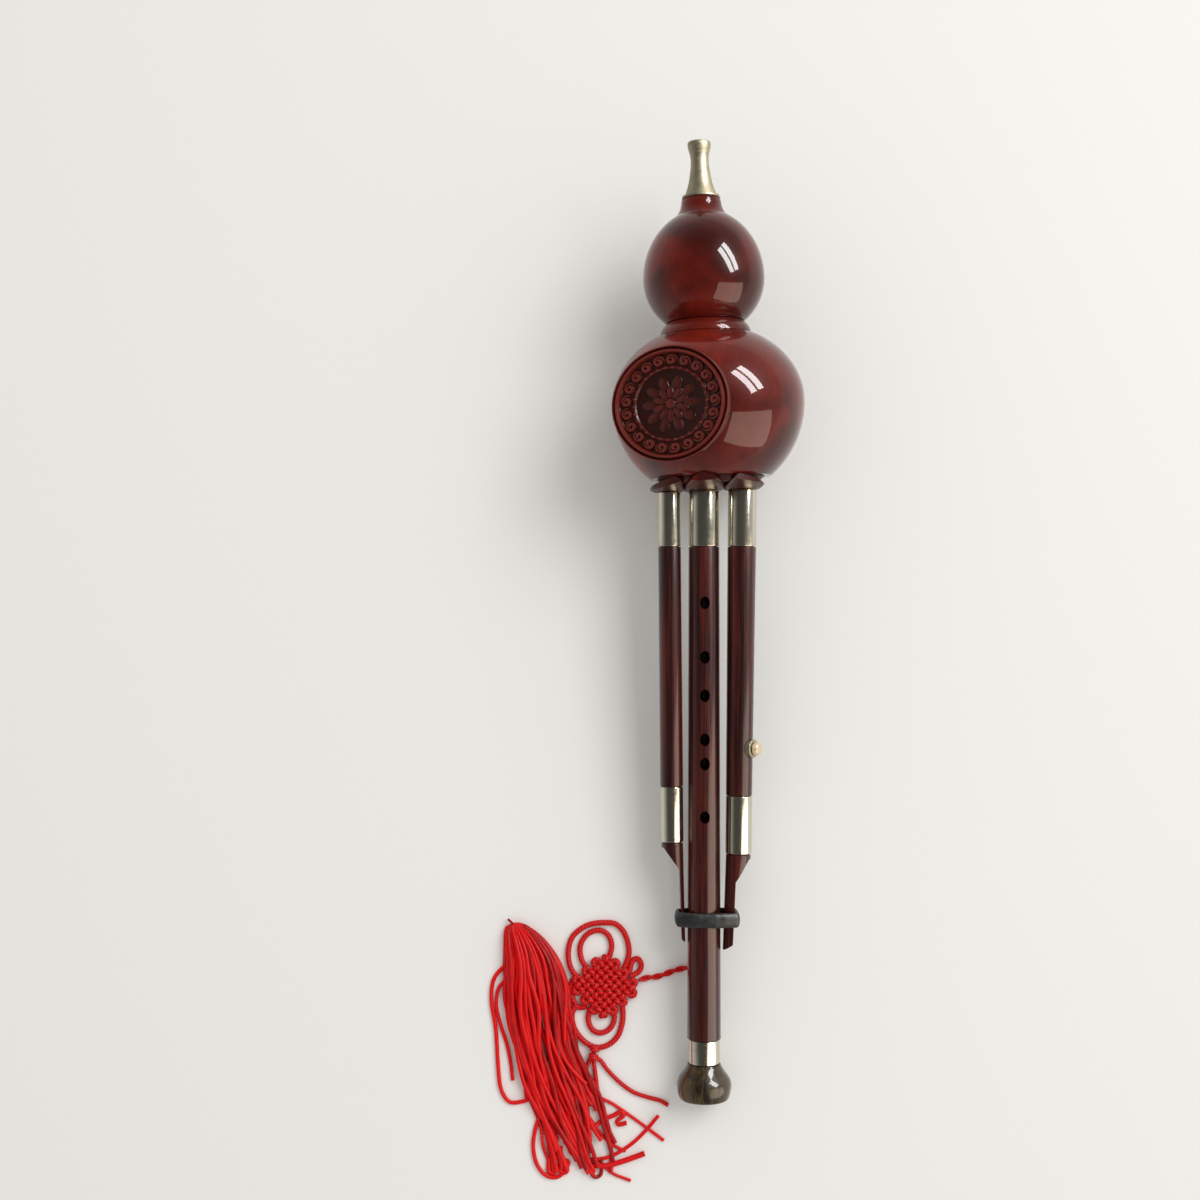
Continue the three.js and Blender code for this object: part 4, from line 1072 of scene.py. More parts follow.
def make_cord():
    """The doubled red cord from the pipe's back to the knot."""
    tassel = settings("tassel")
    path = even(spline(floor_points(CORD_POINTS), 10), CORD_STEP)
    length = sum((b - a).length for a, b in zip(path, path[1:]))
    cord = line_object("doubled_cord", [path])
    material = cord_finish("doubled cord", 2.2 * MM, 3)
    twisted_tree(CORD_PLIES).apply(
        cord, Diameter=tassel.cord_diameter, Lay=tassel.cord_lay, Sides=12, Material=material
    )
    finished(cord, "red_cord", material, "tassel_cord")


class HULUSI_OT_cord(Steps, bpy.types.Operator):
    """Makes the doubled red cord from the pipe's back to the knot"""

    bl_idname = "hulusi.cord"
    bl_label = "Cord"
    steps = (make_cord,)


# Gourd

BULB_LOWER = 43.5 * MM  # the large bulb's height below its widest place
BULB_UPPER = 35 * MM
SMALL_LOWER = 25.5 * MM
SMALL_UPPER = 31.3 * MM
NECK = ((0.8, 0.1), (0.5, 0.24), (0.22, 0.44), (0.06, 0.66), (0, 0.84))  # shares out and up
THROAT = 1.6  # times the neck's bore, the inside's radius at the small bulb's top
BOSS_ROOT = 0.3  # of the bulb's radius, from where the boss goes out
BOSS_EDGE = 1.2 * MM  # of the medallion beyond its boss
MEDALLION_DROP = 0.8 * MM  # towards the pipes
JUST_IN = 0.02 * MM  # past an end face, where a section is taken


def bulb_middle():
    """The height of the large bulb's widest place, and its radius."""
    place = PLACES["gourd"]
    radius = place.reach("gourd_lower_shell")[1].x
    foot = place.bore("gourd_lower_shell", JUST_IN) + settings("gourd").wall
    return BULB_LOWER * math.sqrt(1 - (foot / radius) ** 2), radius


def bulb_radius(y):
    """The large bulb's outer radius at that height."""
    middle, radius = bulb_middle()
    height = BULB_UPPER if y > middle else BULB_LOWER
    return radius * math.sqrt(max(0, 1 - ((y - middle) / height) ** 2))


def medallion_place():
    """The medallion's place: Y out of the gourd, X to the right, Z towards the pipes."""
    side = PLACES["gourd"].turned(-settings("gourd").medallion_turn)
    low, high = side.reach("medallion")
    return side.moved(y=(low.y + high.y) / 2 - MEDALLION_DROP).turned(math.pi / 2, "X")


def oval_block(width, height, back, front):
    """An oval prism round Y, between two heights."""
    ring = circle(FINE_SIDES)
    return loft("oval", [[(width * c, y, height * s) for c, s in ring] for y in (back, front)])


def make_large_bulb():
    """The large bulb, with its boss, the recess of the medallion and its openings."""
    gourd = settings("gourd")
    place = PLACES["gourd"]
    node = "gourd_lower_shell"
    wall = gourd.wall
    middle, radius = bulb_middle()
    top = place.reach(node)[1].y
    foot_angle, top_angle = -math.asin(middle / BULB_LOWER), math.asin((top - middle) / BULB_UPPER)
    outer = bulb_line(radius, BULB_LOWER, BULB_UPPER, middle, foot_angle, top_angle)
    foot, socket = place.bore(node, JUST_IN), place.bore(node, top - MM)
    inside = radius - wall
    top_angle, foot_angle = math.acos(socket / inside), -math.acos(foot / inside)
    inner = bulb_line(inside, BULB_UPPER - wall, BULB_LOWER - wall, middle, top_angle, foot_angle)
    bulb = turned("gourd_large_bulb", [(0, 0), *outer, (0, top)], FINE_SIDES)
    boss_place = medallion_place()
    end = boss_place.reach("medallion")[0].y - GAP
    width, height = gourd.medallion_width / 2, gourd.medallion_height / 2
    boss = oval_block(width - BOSS_EDGE, height - BOSS_EDGE, BOSS_ROOT * radius, end)
    recess = oval_block(width + GAP, height + GAP, end, radius + wall)
    hollow = [(0, -wall), (foot, -wall), *reversed(inner), (socket, top + wall), (0, top + wall)]
    combined(bulb, carried(boss, boss_place.seen_from(place)), way="UNION")
    combined(bulb, carried(recess, boss_place.seen_from(place)), turned("hollow", hollow, FINE_SIDES))
    dress(bulb, place, "gourd_lacquer", node)


def make_small_bulb():
    """The small bulb, its spigot in the large bulb and its neck."""
    gourd = settings("gourd")
    place = PLACES["gourd"]
    node = "gourd_upper_shell"
    low, high = place.reach(node)
    spigot, hole = place.radius(node, low.y + MM), place.bore(node, low.y + MM)
    shoulder = place.reach("waist_ring")[1].y + GAP
    base = place.radius(node, shoulder + 0.1 * MM)
    radius = high.x
    foot_angle, neck_angle = -math.acos(base / radius), math.acos(gourd.neck_foot / radius)
    middle = shoulder - SMALL_LOWER * math.sin(foot_angle)
    outer = bulb_line(radius, SMALL_LOWER, SMALL_UPPER, middle, foot_angle, neck_angle)
    neck_foot = outer[-1][1]
    neck = place.radius(node, high.y - 0.5 * MM)
    rise = high.y - neck_foot
    neck_line = [(neck + (gourd.neck_foot - neck) * out, neck_foot + rise * up) for out, up in NECK]
    bore = place.bore(node, high.y - MM)
    wall = gourd.wall
    inside = radius - wall
    top_angle, foot_angle = math.acos(THROAT * bore / inside), -math.acos(hole / inside)
    inner = bulb_line(inside, SMALL_UPPER - wall, SMALL_LOWER - wall, middle, top_angle, foot_angle)
    edge = 0.5 * MM
    top = rounded([(neck, high.y, edge), (bore, high.y, edge)])
    outline = [(hole, low.y), (spigot, low.y), (spigot, shoulder), *outer, *neck_line, *top]
    outline += [(bore, inner[0][1] + MM), *inner]
    dress(turned("gourd_small_bulb", outline, FINE_SIDES), place, "gourd_lacquer", node)


def make_collar():
    """The rounded collar that covers the joint of the bulbs."""
    place = PLACES["gourd"]
    node = "waist_ring"
    low, high = place.reach(node)
    foot = place.radius(node, low.y + JUST_IN)
    head = place.radius(node, high.y - JUST_IN)
    high.y += 0.2 * MM
    bore = place.bore(node, low.y + MM)
    steps = 12
    line = []
    for i in range(1, steps):
        t = i / steps
        bulge = settings("gourd").collar_bulge * math.sin(math.pi * t)
        line.append((foot + (head - foot) * t + bulge, low.y + (high.y - low.y) * t))
    outline = [(bore, low.y), (foot - 0.5 * MM, low.y), *line, (head - 0.4 * MM, high.y), (bore, high.y)]
    dress(turned("waist_collar", outline, FINE_SIDES), place, "gourd_lacquer", node)


class HULUSI_OT_gourd(Steps, bpy.types.Operator):
    """Makes the two bulbs and the collar between them"""

    bl_idname = "hulusi.gourd"
    bl_label = "Gourd"
    steps = (make_large_bulb, make_small_bulb, make_collar)


# Medallion

# The turned plate's outline, in shares of its radius and of its rise
PLATE = (
    (0, 0), (0.955, 0), (0.985, 0.05), (1, 0.2), (1, 0.7), (0.994, 0.8), (0.984, 0.84), (0.975, 0.76),
    (0.969, 0.4), (0.96, 0.3), (0.948, 0.3), (0.94, 0.42), (0.935, 0.8), (0.925, 0.95), (0.91, 1),
    (0.893, 0.96), (0.882, 0.8), (0.876, 0.5), (0.865, 0.36), (0.85, 0.3), (0.66, 0.3), (0.648, 0.4),
    (0.632, 0.5), (0.612, 0.5), (0.598, 0.4), (0.588, 0.24), (0.56, 0.2), (0.3, 0.22), (0, 0.26),
)
# The ring of curls: its radius, a curl's radius and width, and its middle's height
CURLS = (0.755, 0.1, 0.058, 0.4)
# Rings of petals and beads: a count for each petal of a ring, or the count itself, the ring's
# radius, a petal's half length, width and height, its middle's height, and a share of a turn
ORNAMENTS = {
    "outer petals": (1, 0, 0.36, (0.15, 0.085, 0.2), 0.24, 0),
    "inner petals": (1, 0, 0.2, (0.12, 0.06, 0.24), 0.28, 1),
    "beads": (3, 0, 0.622, (0.028, 0.028, 0.14), 0.5, 0),
    "heart": (0, 3, 0.001, (0.09, 0.09, 0.26), 0.34, 0),
}
CARVED_DEEP = 0.22  # of the rise, below which the carving is at its darkest
CARVED_HIGH = 0.8


def ring_of(shape, instance, scale, extra):
    """Copies of an instance in a ring round Z, turned outwards and by an extra angle."""
    sockets = {"Vertices": shape.input("Count"), "Radius": shape.input("Radius")}
    ring = shape.node("GeometryNodeMeshCircle", {"fill_type": "NONE"}, sockets)
    spin = shape.upright(shape.angle(shape.node("GeometryNodeInputPosition")) + extra)
    sockets = {"Points": ring, "Instance": instance, "Rotation": spin, "Scale": scale}
    sockets = {
        "Geometry": shape.node("GeometryNodeInstanceOnPoints", {}, sockets),
        "Translation": shape.upright(shape.input("Height")),
        "Rotation": shape.upright(shape.input("Turn")),
    }
    return shape.end(shape.node("GeometryNodeTransform", {}, sockets))


def curls_tree():
    """A ring of small cloud curls round Z, each a tapered spiral."""
    sizes = {"Curl": "Float", "Width": "Float", "Height": "Float", "Turn": "Float"}
    shape = Shape("curls", Count="Int", Radius="Float", **sizes)
    sockets = {
        "Resolution": 26,
        "Rotations": 1.4,
        "Start Radius": shape.input("Curl") * 0.12,
        "End Radius": shape.input("Curl"),
        "Height": 0.0,
    }
    spiral = shape.node("GeometryNodeCurveSpiral", {}, sockets)
    along = shape.node("GeometryNodeSplineParameter", {}, {}, "Factor")
    sockets = {"Resolution": 8, "Radius": shape.input("Width") * 0.5}
    ring = shape.node("GeometryNodeCurvePrimitiveCircle", {"mode": "RADIUS"}, sockets)
    taper = 1.25 - shape.math("POWER", along, 3) * 0.8
    sockets = {"Curve": spiral, "Profile Curve": ring, "Scale": taper, "Fill Caps": True}
    return ring_of(shape, shape.node("GeometryNodeCurveToMesh", {}, sockets), (1, 1, 1), 0.5)


def petals_tree():
    """A ring of rounded petals round Z."""
    sizes = {"Size": "Vector", "Height": "Float", "Turn": "Float"}
    shape = Shape("petals", Count="Int", Radius="Float", **sizes)
    ball = shape.node("GeometryNodeMeshUVSphere", {}, {"Segments": 16, "Rings": 10, "Radius": 1.0})
    return ring_of(shape, ball, shape.input("Size"), 0.0)


def carved_ring(name, tree, **values):
    """The object of a ring of ornaments, round Y."""
    part = tree.apply(mesh_object(name, [(0, 0, 0)], []), **values)
    return carried(part, Matrix.Rotation(-math.pi / 2, 4, "X"))


def make_medallion():
    """The carved oval on the large bulb."""
    gourd = settings("gourd")
    place = medallion_place()
    low, high = place.reach("medallion")
    back, rise = low.y, high.y - low.y
    half = gourd.medallion_width / 2
    plate = turned("plate", [(share * half, back + up * rise) for share, up in PLATE], FINE_SIDES)
    sizes = {word: share * half for word, share in zip(("Radius", "Curl", "Width"), CURLS)}
    sizes["Height"] = back + CURLS[3] * rise
    carved = [carved_ring("curls", curls_tree(), Count=gourd.curl_count, Turn=0.0, **sizes)]
    tree = petals_tree()
    for name, (times, more, radius, (long, wide, thick), up, turn) in ORNAMENTS.items():
        values = {
            "Count": times * gourd.petal_count + more,
            "Radius": radius * half,
            "Size": (long * half, wide * half, thick * rise),
            "Height": back + up * rise,
            "Turn": turn * math.pi / gourd.petal_count,
        }
        carved.append(carved_ring(name, tree, **values))
    made = joined("carved_medallion", plate, *carved)
    carried(made, Matrix.Diagonal((1, 1, gourd.medallion_height / gourd.medallion_width, 1)))
    deep, high = back + CARVED_DEEP * rise, back + CARVED_HIGH * rise
    colour = settings("finish").carving
    material = carving_finish("carved medallion", place, deep, high, colour, 0.45)
    dress(made, place, "carved_wood", "medallion", material)


class HULUSI_OT_medallion(Steps, bpy.types.Operator):
    """Makes the carved oval on the large bulb"""

    bl_idname = "hulusi.medallion"
    bl_label = "Medallion"
    steps = (make_medallion,)


# Pipe seat

# Rows of height, left, right and depth, in millimetres from the main pipe's line
SEAT_LOBES = {
    "main": (
        (-5.5, -8.3, 8.3, 11.5), (-5, -8.7, 8.6, 15), (-4.3, -9.2, 8.6, 19.6), (-3.6, -9.4, 8.4, 24),
        (-2.8, -9.3, 7.8, 27.4), (-2.1, -9, 6.8, 30), (-1.35, -8.1, 5.3, 33), (-0.6, -6.8, 3.4, 36),
        (0.1, -5, 1.4, 36), (0.6, -3.4, -0.3, 36), (0.9, -2.2, -1.5, 36),
    ),
    "drone": (
        (-5.5, 9.6, 25.1, 10.5), (-5.1, 9.2, 25.7, 13.4), (-4.5, 8.9, 26.3, 17), (-3.9, 8.7, 26.4, 20.4),
        (-3.25, 8.9, 25.6, 23.2), (-2.6, 9.4, 24, 26), (-2, 10.2, 22, 31), (-1.35, 11.2, 19.8, 36),
        (-0.8, 12.2, 17.6, 36), (-0.35, 13.1, 15.7, 36), (-0.1, 13.8, 14.5, 36),
    ),
    "mute": (
        (-5.5, -22.2, -9.2, 9.5), (-5.1, -23, -9.2, 12.6), (-4.5, -23.8, -9.4, 16.4),
        (-3.9, -24.2, -9.4, 20), (-3.25, -23.8, -9.6, 23), (-2.6, -22.6, -10, 26),
        (-2, -20.8, -10.8, 31), (-1.35, -18.8, -11.8, 36), (-0.8, -16.8, -12.9, 36),
        (-0.35, -15.4, -13.7, 36), (-0.1, -14.7, -14.1, 36),
    ),
}
LOBE_PROUD = 0.9 * MM  # of the lobes over the bulb
LOBE_BLUNT = 0.62  # the power that makes a lobe's oval section fuller
SEAT_BEVEL = 2.7 * MM
SEAT_CREASE = math.radians(42)
SKIN_STEP = 0.5 * MM
TUBE_REACH = 0.06  # of a tube's hole, past all of the seat
SEATED = {"main": "main_reed_tube", "drone": "drone_reed_tube", "mute": "mute_dowel"}


def seat_lobe(place, name):
    """One lobe: narrow over its ferrule, and pointed where it ends on the bulb."""
    inverse = place.matrix.inverted()
    axis = inverse.to_3x3() @ Vector(PLACES["main"].matrix.col[1][:3])
    start = inverse @ PLACES["main"].matrix.translation
    rings = []
    for y, left, right, depth in SEAT_LOBES[name]:
        line = start.x + axis.x * (y * MM - start.y) / axis.y
        middle, half = line + (left + right) / 2 * MM, (right - left) / 2 * MM
        ring = []
        for c, s in circle(SMALL_SIDES):
            x = middle + half * math.copysign(abs(c) ** LOBE_BLUNT, c)
            ring.append((x, y * MM, depth * MM * math.copysign(abs(s) ** LOBE_BLUNT, s)))
        rings.append(ring)
    return loft("lobe " + name, rings)


def make_seat():
    """The lobed seat that carries the pipes."""
    place = PLACES["gourd"]
    node = "pipe_seat"
    low, high = place.reach(node)
    foot_y = low.y
    plug = place.radius(node, high.y - MM)
    outline = [(0, foot_y / 2), (plug - SEAT_BEVEL, foot_y / 2), (plug, -GAP), (plug, high.y), (0, high.y)]
    seat = turned("lobed_seat", outline)
    skin = [(0, 1.2 * foot_y), (bulb_radius(0) + LOBE_PROUD, 1.2 * foot_y)]
    skin += [(bulb_radius(SKIN_STEP * k) + LOBE_PROUD, SKIN_STEP * k) for k in range(12)]
    skin.append((0, skin[-1][1]))
    for name in SEAT_LOBES:
        lobe = combined(seat_lobe(place, name), turned("skin", skin, FINE_SIDES), way="INTERSECT")
        combined(seat, lobe, way="UNION")
    for name, tube in SEATED.items():
        low, high = PLACES[name].reach(tube)
        hole = rod(high.x + GAP, low.y, low.y + TUBE_REACH)
        combined(seat, carried(hole, PLACES[name].seen_from(place)))
    colour = settings("finish").lacquer_dark
    material = carving_finish("seat lacquer", place, -12 * MM, -4 * MM, colour, 0.2)
    dress(seat, place, "carved_wood", node, material, SEAT_CREASE)


class HULUSI_OT_seat(Steps, bpy.types.Operator):
    """Makes the lobed seat that carries the pipes"""

    bl_idname = "hulusi.seat"
    bl_label = "Pipe seat"
    steps = (make_seat,)


# Blowing end

WAIST_SHARE = 0.64  # of the mouthpiece's seen length, where it is narrowest
LIP_SHARE = 0.955
# Its line from the flange to the waist, as shares up and out
FLARE = ((0.13, 0.56), (0.2, 0.42), (0.27, 0.3), (0.36, 0.19), (0.45, 0.11), (0.55, 0.03))


def make_mouthpiece():
    """The blowing tube."""
    place = PLACES["gourd"]
    node = "mouthpiece"
    low, high = place.reach(node)
    seat = place.reach("gourd_upper_shell")[1].y + GAP
    length = high.y - seat
    flange = high.x
    bore, tenon = place.bore(node, low.y + MM), place.radius(node, low.y + MM)
    waist = place.radius(node, seat + WAIST_SHARE * length)
    lip = place.radius(node, seat + LIP_SHARE * length)
    rim, edge = 1.2 * MM, 0.45 * MM
    line = [(flange * 0.86, seat + rim)]
    line += [(waist + (flange - waist) * out, seat + length * up) for up, out in FLARE]
    line += [(waist, seat + WAIST_SHARE * length)]
    for t in (0, 0.3, 0.6, 0.85):
        line.append((waist + (lip - waist) * t**1.6, seat + length * (0.7 + 0.2 * t)))
    line += [(lip, seat + length * 0.925)]
    outline = [
        (bore, low.y),
        (tenon, low.y),
        (tenon, seat),
        *rounded([(tenon, seat), (flange, seat, edge), (flange, seat + rim, edge), line[0]])[1:-1],
        *flat_spline(line, 6),
        (lip, seat + length * 0.97),
        (lip - 0.25 * MM, high.y - 0.2 * MM),
        (lip - 0.6 * MM, high.y),
        (bore + 0.5 * MM, high.y),
        (bore, high.y - 0.5 * MM),
    ]
    dress(turned("blowing_tube", outline), place, "mouthpiece_metal", node)


def sleeve_outline(place, node, inside, outside):
    """A sleeve's outline, its edges rounded by one fillet inside and one outside."""
    low, high = place.reach(node)
    bore = place.bore(node, low.y + MM)
    corners = (bore, low.y, inside), (high.x, low.y, outside), (high.x, high.y, outside)
    return rounded([*corners, (bore, high.y, inside)])


def make_cork():
    """The cork sleeve on the mouthpiece's tenon."""
    place = PLACES["gourd"]
    outline = sleeve_outline(place, "mouthpiece_cork", 0, 0.5 * MM)
    dress(turned("cork_sleeve", outline), place, "cork", "mouthpiece_cork")


class HULUSI_OT_mouthpiece(Steps, bpy.types.Operator):
    """Makes the blowing tube and its cork"""

    bl_idname = "hulusi.mouthpiece"
    bl_label = "Mouthpiece"
    steps = (make_mouthpiece, make_cork)


# Pipes

# A pipe's upper and lower ferrule
FERRULES = {
    "main": ("main_ferrule_top", "main_ferrule_bottom"),
    "drone": ("drone_ferrule_top", "drone_ferrule_lower"),
    "mute": ("mute_ferrule_top", "mute_ferrule_lower"),
}
# The holes' heights, as shares of the main pipe's seen length
FINGER_SHARES = (0.886, 0.776, 0.6985, 0.6095, 0.5605, 0.4525)
THUMB_SHARE = 0.93
CORD_SHARES = (0.134, 0.175)
HOLE_ROWS = ((-0.5, 0.07), (-0.15, 0.25), (0.2, 0.6), (1, 1.5))  # a hole's edge, in dish widths
PIPE_EDGE = 0.3 * MM
TAILS = {
    "drone": {"length": 43.5 * MM, "strip": 4.6 * MM, "side": 1},
    "mute": {"length": 46.3 * MM, "strip": 2.2 * MM, "side": -1},
}
TAIL_INSET = 0.3 * MM  # of a tail's root inside its ferrule's outline
TAIL_TAPER = 0.5 * MM
TAIL_RISE = 3 * MM  # of the strip's inner face above its tip
TAIL_SOFTNESS = 0.25 * MM
SCOOP = 9.5 * MM
# The bell's outline, as shares of its swell beyond its neck and of its height
SWELL = (
    (0.82, 0.07), (0.92, 0.18), (0.98, 0.3), (1, 0.4), (0.95, 0.5), (0.76, 0.62), (0.4, 0.77),
    (0.12, 0.91), (0, 1),
)
MOUTH_SHARE = 0.72  # of the bell's height, from where its bore widens downwards
KNOB = ((0.78, 0), (0.93, 0.1), (1, 0.28), (1, 0.48), (0.9, 0.72), (0.7, 0.9), (0.4, 0.985), (0, 1))
KNOB_LENGTH = 3 * MM
BAND_EASE = 0.5 * MM  # that the drawn band is thinner at each edge than its solid
BAND_WALL = 2.2 * MM
BAND_TURNS = [0.1 * k for k in range(-4, 5)]  # angles over which the band's line is evened


def make_ferrules():
    """The plated sleeves at the ends of the pipes."""
    for side, nodes in FERRULES.items():
        for node in nodes:
            outline = sleeve_outline(PLACES[side], node, 0.12 * MM, 0.25 * MM)
            dress(turned(node + "_sleeve", outline, FINE_SIDES), PLACES[side], "ferrule_nickel", node)


def pipe_span(side):
    """Where a pipe shows, between its two ferrules."""
    upper, lower = FERRULES[side]
    return PLACES[side].reach(lower)[1].y + GAP, PLACES[side].reach(upper)[0].y - GAP


def pipe_outline(side, lower, upper):
    """A pipe's outline: a slim cone between two tenons, round its bore."""
    place = PLACES[side]
    node = side + "_pipe"
    low, high = place.reach(node)
    foot, head = pipe_span(side)
    tenon, neck = place.radius(node, low.y + MM), place.radius(node, high.y - MM)
    bore = place.bore(node, high.y - MM)
    shown = (lower, foot, PIPE_EDGE), (upper, head, PIPE_EDGE)
    below, above = ((bore, low.y), (tenon, low.y), (tenon, foot)), ((neck, head), (neck, high.y))
    return rounded([*below, *shown, *above, (bore, high.y)])


def dished_hole(wide, long, radius, y, side):
    """A cutter for an oval hole with a softened edge, in the front or the back of a pipe."""
    dish = settings("pipes").hole_dish
    heights = [(0, 0), (radius - dish, 0), *((radius + up * dish, out) for up, out in HOLE_ROWS)]
    rings = []
    for z, out in heights:
        x_half, y_half = wide + out * dish, long + out * dish
        rings.append([(x_half * c, y + y_half * s, side * z) for c, s in circle(SMALL_SIDES)])
    return loft("hole", rings)


def make_main_pipe():
    """The pipe with the finger holes."""
    pipes = settings("pipes")
    place = PLACES["main"]
    node = "main_pipe"
    foot, head = pipe_span("main")
    widest, narrow = place.reach(node)[1].x, place.radius(node, head - 0.1 * MM)
    pipe = turned("finger_pipe", pipe_outline("main", widest, narrow), FINE_SIDES)
    finger = pipes.hole_width / 2, pipes.hole_length / 2
    small = pipes.cord_hole / 2, pipes.cord_hole / 2
    holes = [(share, finger, 1) for share in FINGER_SHARES]
    holes += [(THUMB_SHARE, finger, -1), *((share, small, -1) for share in CORD_SHARES)]
    for share, halves, side in holes:
        radius = widest + (narrow - widest) * share
        combined(pipe, dished_hole(*halves, radius, foot + share * (head - foot), side))
    dress(pipe, place, "pipe_wood", node)


def make_bell():
    """The flared end under the main pipe."""
    place = PLACES["main"]
    node = "bell"
    high = place.reach(node)[1]
    neck_y = place.reach("main_ferrule_bottom")[0].y - GAP
    neck, tenon = place.radius(node, neck_y - 0.1 * MM), place.radius(node, high.y - MM)
    rim = place.radius(node, JUST_IN)
    bore, mouth = place.bore(node, high.y - MM), place.bore(node, 0.05 * MM)
    outside = [(neck + (high.x - neck) * out, neck_y * up) for out, up in SWELL]
    curve = flat_spline([(rim + 0.25 * MM, 0.35 * MM), *outside], 6)
    inside = [(bore, high.y), (bore, MOUTH_SHARE * neck_y)]
    steps = 8
    for i in range(1, steps):
        t = i / steps
        inside.append((bore + (mouth - bore) * t**1.25, MOUTH_SHARE * neck_y * (1 - t)))
    inside += [(mouth - 0.1 * MM, 0.5 * MM), (mouth + 0.2 * MM, 0.08 * MM), (mouth + 0.5 * MM, 0)]
    outline = [(rim - 0.1 * MM, 0), *curve, (tenon, neck_y), (tenon, high.y), *inside]
    dress(turned("flared_bell", outline, FINE_SIDES), place, "bell_horn", node)


def make_side_pipe(side):
    """A pipe beside the main one, with the stopper's hole in the drone."""
    place = PLACES[side]
    node = side + "_pipe"
    foot, head = pipe_span(side)
    lower, upper = place.radius(node, foot + 0.05 * MM), place.radius(node, head - 0.05 * MM)
    pipe = turned(node + "_wood", pipe_outline(side, lower, upper), FINE_SIDES)
    if side == "drone":
        radius = PLACES["stopper"].radius("stopper_bush", 0.5 * MM) + GAP
        combined(pipe, carried(rod(radius, -MM, 0.02), PLACES["stopper"].seen_from(place)))
    dress(pipe, place, "pipe_wood", node)


def scoop_block(tail, radius):
    """What is cut from a rod to leave the strip."""
    inner, far, length = tail["strip"] - radius, radius + 2 * MM, tail["length"]
    start = Vector((0.8 * radius, -0.25 * SCOOP))
    corner = Vector((inner + 0.33 * radius, -SCOOP))
    line = [(far, -0.125 * SCOOP), *bend(start, corner, Vector((inner, -1.3 * SCOOP)), 12)]
    line += [(inner, TAIL_RISE - length), (-far, -length - 2 * MM), (far, -length - 2 * MM)]
    return loft("scoop", [[(tail["side"] * x, y, z) for x, y in line] for z in (-far, far)])


def make_tail(side):
    """A rod scooped to a strip that leans in to the main pipe."""
    tail = TAILS[side]
    place = PLACES[side]
    node = side + "_tail"
    length = tail["length"]
    low, high = place.reach(node)
    sleeve_low, sleeve_high = place.reach(side + "_ferrule_lower")
    radius, root = sleeve_high.x - TAIL_INSET, sleeve_low.y - GAP
    tip_radius = radius - TAIL_TAPER
    tip_x = (low.x + tip_radius) if tail["side"] > 0 else (high.x - tip_radius)
    outline = [(0, -length), (tip_radius, -length, PIPE_EDGE), (radius, -GAP, PIPE_EDGE), (0, -GAP)]
    strip = turned(node + "_wood", rounded(outline), FINE_SIDES)
    combined(strip, scoop_block(tail, radius))
    carried(strip, Matrix.Rotation(math.asin(tip_x / length), 4, "Z"))
    tenon, bore = place.radius(node, high.y - MM), place.bore(node, high.y - MM)
    top = high.y - root
    combined(strip, rod(tenon, -2 * GAP, top, PIPE_SIDES), way="UNION")
    combined(strip, rod(bore, -SCOOP, top + MM))
    carried(strip, Matrix.Translation((0, root, 0)))
    soften(strip, TAIL_SOFTNESS)
    dress(strip, place, "pipe_wood", node)


def make_sides():
    """The pipes beside the main one and their tails."""
    for side in TAILS:
        make_side_pipe(side)
        make_tail(side)


def soften(obj, width):
    """Rounds the object's sharp edges a little."""
    modifier = obj.modifiers.new("soften", "BEVEL")
    modifier.width = width
    modifier.segments = 3
    modifier.limit_method = "ANGLE"
    modifier.angle_limit = math.radians(40)
    baked(obj)


def make_stopper():
    """The drone pipe's stopper."""
    place = PLACES["stopper"]
    node = "drone_stopper"
    high = place.reach(node)[1]
    stem = place.radius(node, MM)
    foot = high.y - KNOB_LENGTH
    line = flat_spline([(out * high.x, foot + up * KNOB_LENGTH) for out, up in KNOB], 5)
    outline = [(0, 0), (stem, 0), (stem, foot), *line]
    dress(turned("stopper_knob", outline, SMALL_SIDES), place, "stopper_ivory", node)


def make_bush():
    """The bush that the stopper slides in, cut to sit on the drone pipe."""
    place, drone = PLACES["stopper"], PLACES["drone"]
    node = "stopper_bush"
    low, high = place.reach(node)
    bore, sleeve = place.bore(node, high.y - 0.2 * MM), place.radius(node, low.y + 0.1 * MM)
    edge, seat = 0.35 * MM, low.y + 0.6 * MM
    outline = [(bore, low.y), (sleeve, low.y), (sleeve, seat), (high.x, seat)]
    bush = turned("stopper_collar", rounded([*outline, (high.x, high.y, edge), (bore, high.y, edge)]))
    local = drone.seen_from(place)
    height = place.seen_from(drone).translation.y
    radius = drone.radius("drone_pipe", height + 6 * MM) + GAP
    far = 8 * MM
    shaft = carried(rod(sleeve, 0, far, PIPE_SIDES), local.inverted())
    pipe = combined(rod(radius, height - far, height + far, PIPE_SIDES), shaft)
    combined(bush, carried(pipe, local))
    dress(bush, place, "mouthpiece_metal", node)


